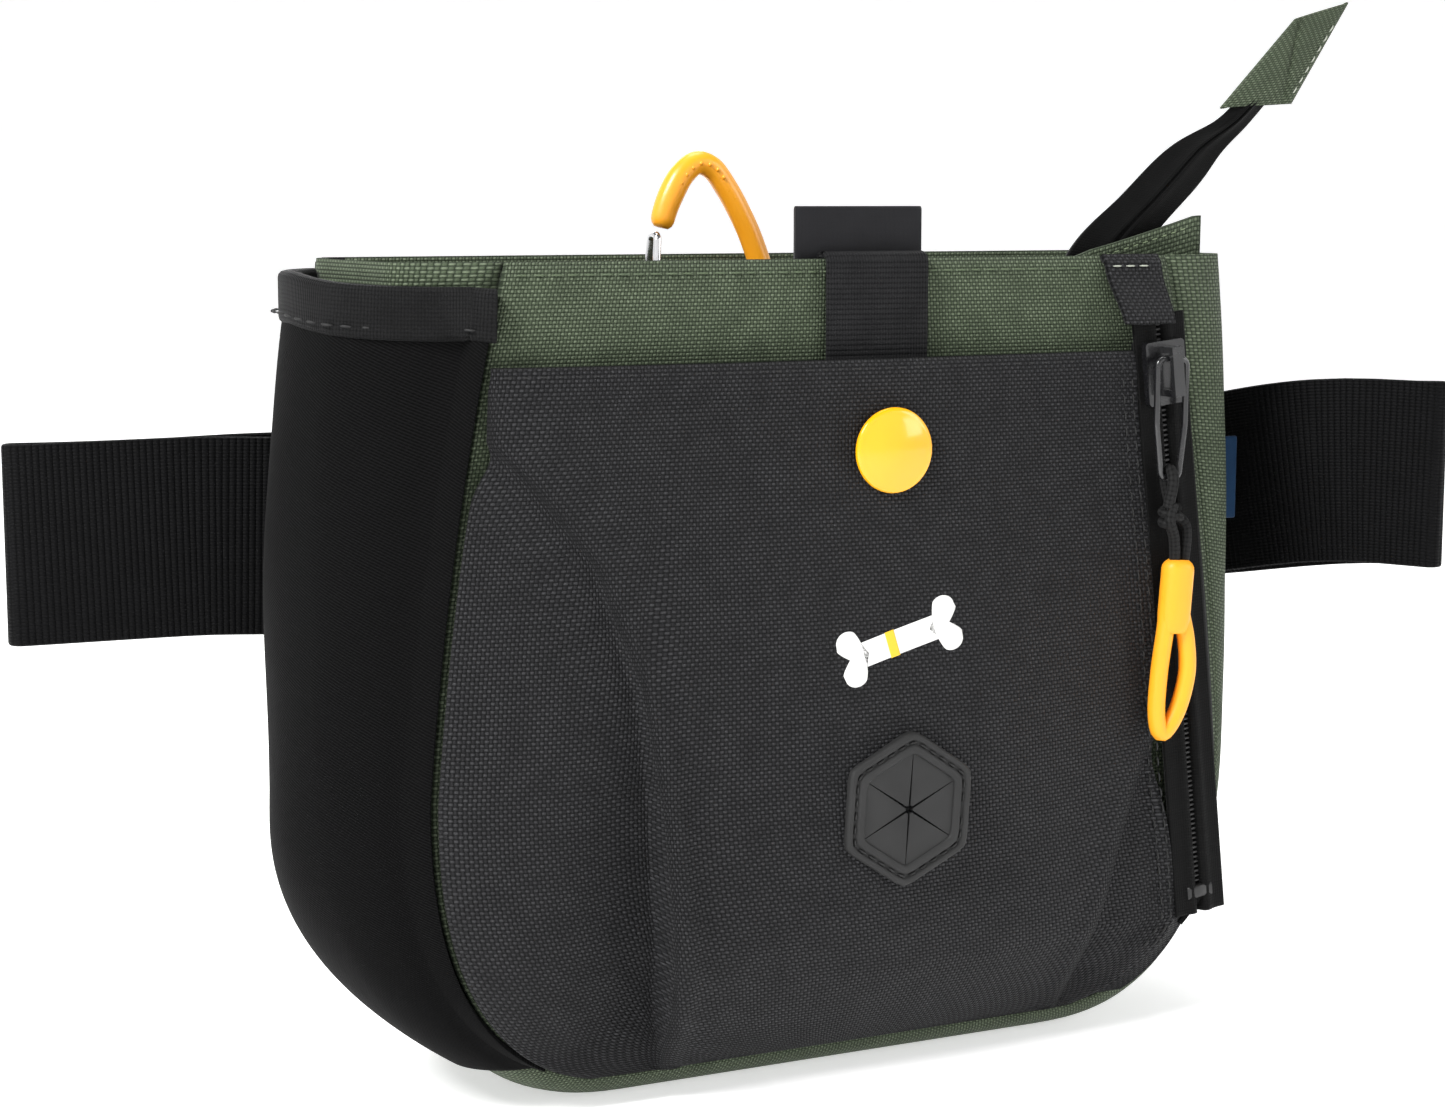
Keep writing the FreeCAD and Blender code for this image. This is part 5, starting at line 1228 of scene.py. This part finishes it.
# %% Bone print
def bone_points(scale, turn, band=None):
    """Grid of the bone: s runs along it, t across it; band keeps s within a narrow share."""
    s = np.linspace(-1, 1, 91) if band is None else np.linspace(*band, 9)
    t = np.linspace(-1, 1, 31)
    s, t = np.meshgrid(s, t, indexing="ij")
    lobe = np.sqrt(np.clip(1 - ((np.abs(s) - 0.8) / 0.2) ** 2, 0, 1))
    half = 2.3 + 2.9 * lobe ** 0.8 * smooth((np.abs(s) - 0.55) / 0.12)
    length = 13.5 - 2.2 * (1 - np.abs(t)) ** 1.3 * (np.abs(s) > 0.6)
    px, pz = s * length * scale, t * half * scale * (1.06 if band else 1.0)
    angle = math.radians(turn)
    x = CENTRE_X + px * math.cos(angle) - pz * math.sin(angle)
    z = 85.0 + px * math.sin(angle) + pz * math.cos(angle)
    return x, z


print_white = Finish("white_print", 0.55)
print_white.place()
speck = print_white.noise(0.5, 3.0)
print_white.colour(print_white.mix(print_white.span(speck, 0.35, 0.7, 0.0, 0.25), (0.80, 0.80, 0.78),
                                   (0.62, 0.62, 0.61)))
print_white.bump(speck, 0.05)
print_yellow = Finish("yellow_print", 0.5)
print_yellow.place()
print_yellow.colour(print_yellow.mix(print_yellow.noise(0.6, 3.0), (0.90, 0.56, 0.02), (0.80, 0.48, 0.02)))
print_yellow.bump(print_yellow.noise(0.6, 3.0), 0.04)
for name, band, material, lift in (("bone_print", None, print_white.material, 0.05),
                                   ("bone_band_print", (-0.2, -0.05), print_yellow.material, 0.12)):
    x, z = bone_points(1.0, 14.0, band)
    patch = sheet_piece(name, np.stack([x, pocket_y(x, z) - lift, z], -1), flip=False)
    thicken(patch, 0.05, offset=1.0).modifiers[0].use_even_offset = False
    finish_piece(patch, "pouch", "label_cloth", material)

# %% [markdown]
# ## Top closure
# Inside the mouth a zip closes the compartment. Its two cloth plackets stand just behind the rim,
# the front one rising in a flap at the right, and the zip's tail runs up past it: a black tape,
# half twisted, that ends in a folded tab of pack cloth.

# %% Plackets
def placket(name, node, x0, x1, y, foot, top, wave=0.4):
    """Upright cloth strip whose top edge follows the function top(x)."""
    x = np.linspace(x0, x1, 120)
    share = np.linspace(0, 1, 26)
    z = foot + (top(x)[None, :] - foot) * share[:, None]
    grid_x = np.broadcast_to(x, z.shape)
    depth = y + wave * np.sin(grid_x * 0.11 + share[:, None] * 2.0) * share[:, None]
    piece = sheet_piece(name, np.stack([grid_x, depth, z], -1))
    thicken(piece, 1.2, offset=0.0)
    return finish_piece(piece, "pouch", "green_cloth", green_cloth, node)


p_low, p_high = node_box("placket_front")
RIGHT_X = p_high[0]
PLACKET_Y = (p_low[1] + p_high[1]) / 2


def placket_top(x):
    """Level below the rim on the left, then a slanted rise to the flap's peak at the right."""
    rise = np.clip((x - (RIGHT_X - 38)) / 12, 0, 1) * 3.6 + np.clip((x - (RIGHT_X - 27)) / 26, 0,
                                                                    1) ** 1.1 * 7.0
    return HEIGHT - 3.0 + rise * smooth((RIGHT_X + 3 - x) / 3)


placket("placket_front_cloth", "placket_front", p_low[0], p_high[0], PLACKET_Y, p_low[2], placket_top)
x = np.linspace(RIGHT_X - 30, RIGHT_X - 1.5, 80)
line = np.stack([x, np.full(80, PLACKET_Y - 0.95), placket_top(x) - 1.7], -1)
line[:, 1] += 0.4 * np.sin(x * 0.11 + 2.0)
stitch_row("placket_stitches", line, (0, -1, 0), thread_pale_green, "pouch", "green_cloth", length=1.3,
           thick=0.26)
b_low, b_high = node_box("placket_back")
placket("placket_back_cloth", "placket_back", b_low[0], b_high[0], (b_low[1] + b_high[1]) / 2, b_low[2],
        lambda x: np.full_like(x, b_high[2]), wave=0.2)
e_low, e_high = node_box("placket_end")
y = np.linspace(e_low[1], e_high[1], 40)
z = np.linspace(e_low[2], e_high[2], 20)
grid_z, grid_y = np.meshgrid(z, y, indexing="ij")
end_piece = sheet_piece("placket_end_cloth", np.stack([e_low[0] + 0.5 + 0.25 * np.sin(grid_y * 0.3), grid_y,
                                                       grid_z], -1))
thicken(end_piece, 1.0)
finish_piece(end_piece, "pouch", "green_cloth", green_cloth, "placket_end")

# %% Tail
TAIL_Y = PLACKET_Y + 4.4
left_edge = spline([(47.5, TAIL_Y + 0.6, 139.0), (57.5, TAIL_Y + 0.4, 156.7), (69.7, TAIL_Y + 0.8, 167.4),
                    (80.5, TAIL_Y + 0.4, 176.8),
                    (92.0, TAIL_Y, 182.6), (98.5, TAIL_Y, 188.0)], 70)
right_edge = spline([(63.0, TAIL_Y, 138.0), (74.7, TAIL_Y - 0.2, 156.5), (86.6, TAIL_Y - 1.3, 169.2),
                     (92.6, TAIL_Y - 1.0, 176.0),
                     (99.4, TAIL_Y, 181.4), (105.5, TAIL_Y, 187.5)], 70)
t = np.linspace(0, 1, 31)
grid = left_edge[:, None] + (right_edge - left_edge)[:, None] * t[None, :, None]
ridge = 1.0 * np.exp(-((t - 0.5) / 0.16) ** 2) - 1.3 * np.exp(-((t - 0.5) / 0.028) ** 2)
grid[..., 1] -= ridge[None, :] + 0.5 * np.sin(math.pi * t)[None, :]
tail = sheet_piece("zip_tail_tape", grid)
thicken(tail, 0.9)
finish_piece(tail, "pouch", "zip_tape", tape_cloth, "zip_tail", "tail_anchor")

# %% Folded tab on the tail's end
s = np.linspace(0, 1, 46)
t = np.linspace(0, 1, 26)
low_edge = np.stack([110.3 + 14.0 * s, 185.9 + 21.0 * s], -1)
high_edge = np.stack([92.5 + 18.3 * s, 184.8 + 18.4 * s], -1)
flat = low_edge[:, None] * (1 - t)[None, :, None] + high_edge[:, None] * t[None, :, None]
plump = 1.5 * np.sin(math.pi * t).clip(0)[None,
                                          :] ** 0.45 * np.sin(math.pi * np.clip(s * 0.96 + 0.02, 0,
                                                                                1)).clip(0)[:, None] ** 0.25
seam_line = 0.55 * np.exp(-((t[None, :] - (0.15 + 0.75 * s[:, None])) / 0.035) ** 2)
for name, way in (("tail_tab_front", -1), ("tail_tab_back", 1)):
    y = TAIL_Y + way * (plump - (seam_line if way < 0 else 0) + 0.25)
    half = sheet_piece(name, np.stack([flat[..., 0], y, flat[..., 1]], -1), flip=way < 0)
    thicken(half, 0.5)
    finish_piece(half, "pouch", "green_cloth", green_cloth, *(["tail_end_tab"] if way < 0 else []))
stitch = np.stack([low_edge[:, 0] * 0.88 + high_edge[:, 0] * 0.12, np.full(46, TAIL_Y - 1.35),
                   low_edge[:, 1] * 0.88 + high_edge[:, 1] * 0.12], -1)
stitch_row("tail_tab_stitches", stitch[4:42], (0, -1, 0), thread_light, "pouch", "green_cloth", length=1.6)
rounded_copy("top_zip_slider", "top_slider_body", "tail_slider", "black_metal", lacquer, 0.4)
rounded_copy("top_zip_pull", "top_wire_pull", "tail_pull", "black_metal", lacquer, 0.05, 1)

# %% [markdown]
# ## Carabiner
# The carabiner is one bent bar of round section, thicker at its nose, with a sprung wire gate that
# hangs in a hole at its lower end. It stands in the mouth, held to the back by a loop of webbing.

# %% Carabiner bar
CARABINER_Y = (node_box("carabiner")[0][1] + node_box("carabiner")[1][1]) / 2
RIM = HEIGHT
bar_points = [(-22.9, RIM + 5.4), (-21.9, RIM + 8.9), (-20.4, RIM + 12.3), (-18.3, RIM + 15.6),
              (-15.3, RIM + 17.8),
              (-12.0, RIM + 16.9), (-9.2, RIM + 13.6), (-6.2, RIM + 8.8), (-3.2, RIM + 2.8),
              (-0.4, RIM - 5.0),
              (1.4, RIM - 13.5), (1.8, RIM - 20.5), (-0.2, RIM - 25.4), (-5.4, RIM - 27.4),
              (-13.0, RIM - 27.3), (-20.6, RIM - 26.8),
              (-25.0, RIM - 24.2), (-26.6, RIM - 19.6)]
line = spline([(x, CARABINER_Y, z) for x, z in bar_points], 150)
swell = 1 + 0.12 * np.exp(-((np.arange(150) - 12) / 9.0) ** 2)
swell[:3] *= (0.62, 0.88, 0.97)
swell[-3:] *= (0.97, 0.88, 0.62)
bar = profile_along("carabiner_bar", line, round_profile(2.3, 20) * (1.0, 0.96), (0, -1, 0), scale=swell)
finish_piece(bar, "carabiner_body", "orange_coat", orange_coat, "carabiner")
studs = spline([(x, CARABINER_Y - 1.55, z - 0.1) for x, z in bar_points[2:7]], 9)[1:8]
bead = np.array([(0.42, -0.35), (0.45, 0.0), (0.38, 0.22), (0.22, 0.36), (0.05, 0.4)])
angle = np.arange(10) / 10 * 2 * math.pi
shell = np.stack([bead[:, :1] * np.cos(angle), -np.broadcast_to(bead[:, 1:], (5, 10)) - 0.6,
                  bead[:, :1] * np.sin(angle)], -1)
points = (studs[:, None, None] + shell[None]).reshape(-1, 3)
base = (np.arange(len(studs)) * 50)[:, None, None]
beads = add_mesh("carabiner_grip_beads", points,
                 (grid_faces(5, 10, wrap_columns=True)[None] + base).reshape(-1, 4))
finish_piece(beads, "carabiner_body", "orange_coat", orange_coat)
rounded_copy("carabiner_gate", "carabiner_wire_gate", "carabiner_gate_wire", "spring_wire", steel_wire,
             0.04, 1)

# %% Webbing loop that holds it
a_low, a_high = node_box("carabiner_anchor")
middle_z = a_high[2] - (CARABINER_Y - a_low[1])
reach = CARABINER_Y - a_low[1] - 0.65
angle = np.linspace(-math.pi / 2, 1.5 * math.pi - 0.35, 50)
x = (a_low[0] + a_high[0]) / 2
loop = np.stack([np.full(50, x), CARABINER_Y - reach * np.cos(angle + math.pi),
                 middle_z + reach * np.sin(angle)], -1)
tail_run = spline([(x, a_high[1] - 1.0, a_low[2]), (x, a_high[1] - 1.1, a_low[2] + 6.0),
                   (x, a_high[1] - 3.0, middle_z - reach - 1.0),
                   (x, CARABINER_Y + 1.0, middle_z - reach)], 30)
around = np.concatenate([tail_run, loop])
keep_step = np.concatenate([[True], np.linalg.norm(np.diff(around, axis=0), axis=1) > 0.05])
holder = profile_along("carabiner_holder", around[keep_step], flat_profile(a_high[0] - a_low[0], 1.2, 0.5),
                       (0.001, 0.3, 0.9))
finish_piece(holder, "pouch", "webbing", tab_cloth, "carabiner_anchor")

# %% [markdown]
# ## Waist belt
# The belt is one length of 38 mm webbing. It runs through the sleeve on the back, turns in a loop at
# each side and comes back to the buckle behind. It is a rounded strip carried along that path, with
# ribs from its own UV map, so the ribs follow the belt round its turns.

# %% Belt
s_low, s_high = node_box("belt_sleeve")
b_low, b_high = node_box("belt_webbing")
BELT_Z = (b_low[2] + b_high[2]) / 2
BELT_FRONT_Y, BELT_REAR_Y, BUCKLE_MID_Y = BACK_Y + 2.3, BACK_Y + 10.4, BACK_Y + 14.2
front, rear = BELT_FRONT_Y, BELT_REAR_Y
belt_points = [(-34.8, BUCKLE_MID_Y), (-94, BUCKLE_MID_Y - 0.4), (-143.5, front + 14.8),
               (-144.5, front + 10.4),
               (-92, front), (100, front), (103.5, front - 36.3), (126, front - 69.3),
               (129.7, front - 66.9),
               (108.2, front - 34.8), (106.5, rear), (3.4, rear)]
belt_line = rounded_path([(x, y, BELT_Z) for x, y in belt_points],
                         [60, 2.1, 2.1, 60, 9, 60, 2.1, 2.1, 60, 12])
run = np.concatenate([[0], np.cumsum(np.linalg.norm(np.diff(belt_line, axis=0), axis=1))])
loose = smooth((np.abs(belt_line[:, 0]) - 92) / 20)
belt_line[:, 2] += loose * 0.5 * np.sin(run * 0.05)
lifted = smooth((belt_line[:, 0] - 92) / 10) * smooth((BACK_Y + 4 - belt_line[:, 1]) / 60)
belt_line[:, 2] += 8.0 * lifted
belt = profile_along("belt_strap", belt_line, flat_profile(1.5, b_high[2] - b_low[2], 0.6, 4), (0, 0, 1))
finish_piece(belt, "pouch", "webbing", belt_cloth, "belt_webbing")
print("belt path length", round(run[-1]), "mm")

# %% Buckle, slider and keeper
for node, name, body in (("buckle_socket", "buckle_socket_half", "pouch"),
                         ("buckle_plug", "buckle_plug_base", "buckle_plug_half"),
                         ("buckle_prong_upper", "buckle_prong_top", "prong_upper"),
                         ("buckle_prong_lower", "buckle_prong_bottom", "prong_lower"),
                         ("belt_slider", "belt_three_bar_slider", "belt_slider_body")):
    rounded_copy(node, name, body, "black_plastic", black_plastic, 0.55, 3)
k_low, k_high = node_box("belt_keeper")
y0, y1 = k_low[1] + 0.6, k_high[1] - 0.6
z0, z1 = k_low[2] + 0.6, k_high[2] - 0.6
x = (k_low[0] + k_high[0]) / 2
half_ring = rounded_path([(x, (y0 + y1) / 2, z0), (x, y0, z0), (x, y0, z1), (x, y1, z1), (x, y1, z0),
                          (x, (y0 + y1) / 2, z0)],
                         [1.0] * 4)[:-1]
gap = np.linalg.norm(np.roll(half_ring, -1, 0) - half_ring, axis=1)
half_ring = half_ring[gap > 0.02]
centre = half_ring.mean(axis=0)
outward = half_ring - centre
outward[:, 0] = 0
outward /= np.linalg.norm(outward, axis=1, keepdims=True)
tangent = np.roll(half_ring, -1, 0) - np.roll(half_ring, 1, 0)
tangent /= np.linalg.norm(tangent, axis=1, keepdims=True)
outward -= tangent * (outward * tangent).sum(1, keepdims=True)
outward /= np.linalg.norm(outward, axis=1, keepdims=True)
section = flat_profile(k_high[0] - k_low[0], 1.1, 0.4)
points = half_ring[:, None] + outward[:, None] * section[None, :,
                                                         1:] + np.array([1.0, 0, 0]) * section[None, :, :1]
rows, columns = points.shape[:2]
v, u = np.meshgrid(np.arange(rows) * 1.2, np.arange(columns) * 1.0, indexing="ij")
keeper = add_mesh("belt_keeper_band", points.reshape(-1, 3), grid_faces(rows, columns, True, True)[:, ::-1],
                  np.stack([u, v], -1).reshape(-1, 2))
finish_piece(keeper, "pouch", "elastic", elastic_cloth, "belt_keeper")

# %% [markdown]
# ## Padded back
# The back panel is foam between two cloths, quilted in broad channels, with a bound edge. It is a
# closed form: its outer face crowns between the sewn lines and thins to the seam all round, and its
# inner face is nearly flat. The crown is a product of sines between channel lines.

# %% Back pad
def back_half(z):
    """Half width of the back panel at height z."""
    return half_at(BACK_TOP_HALF, BACK_MAX_HALF, BACK_SEAM_LIFT, z)


def back_crown(t, z):
    """Foam height over the back face: falls to the bound edge and to each sewn channel line."""
    half = back_half(z)
    edge_x = (1 - np.abs(t)) * half
    edge = smooth(edge_x / 9.0) * smooth((HEIGHT - z) / 7.0) * smooth((z - BACK_SEAM_LIFT) / 12.0)
    lines = [np.exp(-((z - level) / 1.9) ** 2) for level in (34.0, 60.0)]
    groove = np.clip(sum(lines), 0, 1)
    return 0.3 + 2.6 * edge * (1 - 0.85 * groove)


rows = BACK_SEAM_LIFT + 0.05 + (HEIGHT - BACK_SEAM_LIFT - 0.05) * (0.5 - 0.5 * np.cos(np.linspace(0,
                                                                                                  math.pi,
                                                                                                  90)))
t = np.sin(np.linspace(-math.pi / 2, math.pi / 2, 91))
grid_z, grid_t = np.meshgrid(rows, t, indexing="ij")
grid_x = grid_t * back_half(rows)[:, None]
crown = back_crown(grid_t, grid_z)
behind_belt = np.exp(-((grid_z - BELT_Z) / 24.0) ** 8) * (np.abs(grid_x) < 96)
outer = np.stack([grid_x, BACK_Y - 0.9 + crown * (1 - 0.62 * behind_belt), grid_z], -1)
inner = np.stack([grid_x, BACK_Y - 2.9 - 0.25 * crown, grid_z], -1)
count = outer.shape[0] * outer.shape[1]
top_faces = grid_faces(90, 91)[:, ::-1]
bottom_faces = grid_faces(90, 91) + count
rim_loop = np.concatenate([np.arange(91), np.arange(1, 90) * 91 + 90, 89 * 91 + np.arange(89, -1, -1),
                           np.arange(88, 0, -1) * 91])
following = np.roll(rim_loop, -1)
walls = np.stack([rim_loop, following, following + count, rim_loop + count], -1)
u = np.stack([grid_x, grid_z], -1).reshape(-1, 2)
pad = add_mesh("back_pad", np.concatenate([outer.reshape(-1, 3), inner.reshape(-1, 3)]),
               np.concatenate([top_faces, bottom_faces, walls]), np.concatenate([u, u]))
finish_piece(pad, "pouch", "back_cloth", back_cloth, "back_panel")
for level in (34.0, 60.0):
    x = np.linspace(-float(back_half(level)) + 4, float(back_half(level)) - 4, 200)
    z = np.full(200, level)
    y = BACK_Y - 0.9 + back_crown(x / back_half(z), z)
    stitch_row(f"back_channel_stitches_{int(level)}", np.stack([x, y, z], -1), (0, 1, 0), thread_dark,
               "pouch",
               "back_cloth", thick=0.4)

# %% Binding round the back seam
s = np.linspace(0.002, 0.998, 220)
x, z = outline(BACK_TOP_HALF + 0.3, BACK_MAX_HALF + 0.3, BACK_SEAM_LIFT - 0.3, s)
line = np.stack([x, np.full(220, BACK_Y - 2.6), z], -1)
tape = profile_along("back_seam_tape", line, flat_profile(2.2, 4.6, 0.9, 4), (0, 1, 0))
finish_piece(tape, "pouch", "elastic", elastic_cloth)

# %% Belt sleeve
def sleeve_y(z):
    """Sleeve's outer face: flat on the pad at its sewn edges, raised over the belt between them."""
    gap = smooth((z - s_low[2] - 2.5) / 4.5) * smooth((s_high[2] - 2.5 - z) / 4.5)
    return BACK_Y + 1.0 + (s_high[1] - BACK_Y - 1.0) * gap


z = np.linspace(s_low[2], s_high[2], 70)
x = np.linspace(s_low[0], s_high[0], 90)
grid_z, grid_x = np.meshgrid(z, x, indexing="ij")
ends = 0.35 * np.exp(-((np.abs(grid_x) - s_high[0]) / 2.0) ** 2)
y = sleeve_y(grid_z) + 0.2 * np.sin(grid_x * 0.09) * (grid_z > s_low[2] + 5) * (grid_z < s_high[2] - 5) + ends
sleeve_cloth = sheet_piece("belt_sleeve_cloth", np.stack([grid_x, y, grid_z], -1), flip=True)
thicken(sleeve_cloth, 1.2)
finish_piece(sleeve_cloth, "pouch", "back_cloth", back_cloth, "belt_sleeve")
for name, level in (("sleeve_stitches_low", s_low[2] + 1.3), ("sleeve_stitches_high", s_high[2] - 1.3)):
    stitch_row(name, row_between(s_low[0] + 2, s_high[0] - 2, BACK_Y + 1.05, level), (0, 1, 0), thread_dark,
               "pouch",
               "back_cloth", thick=0.4)
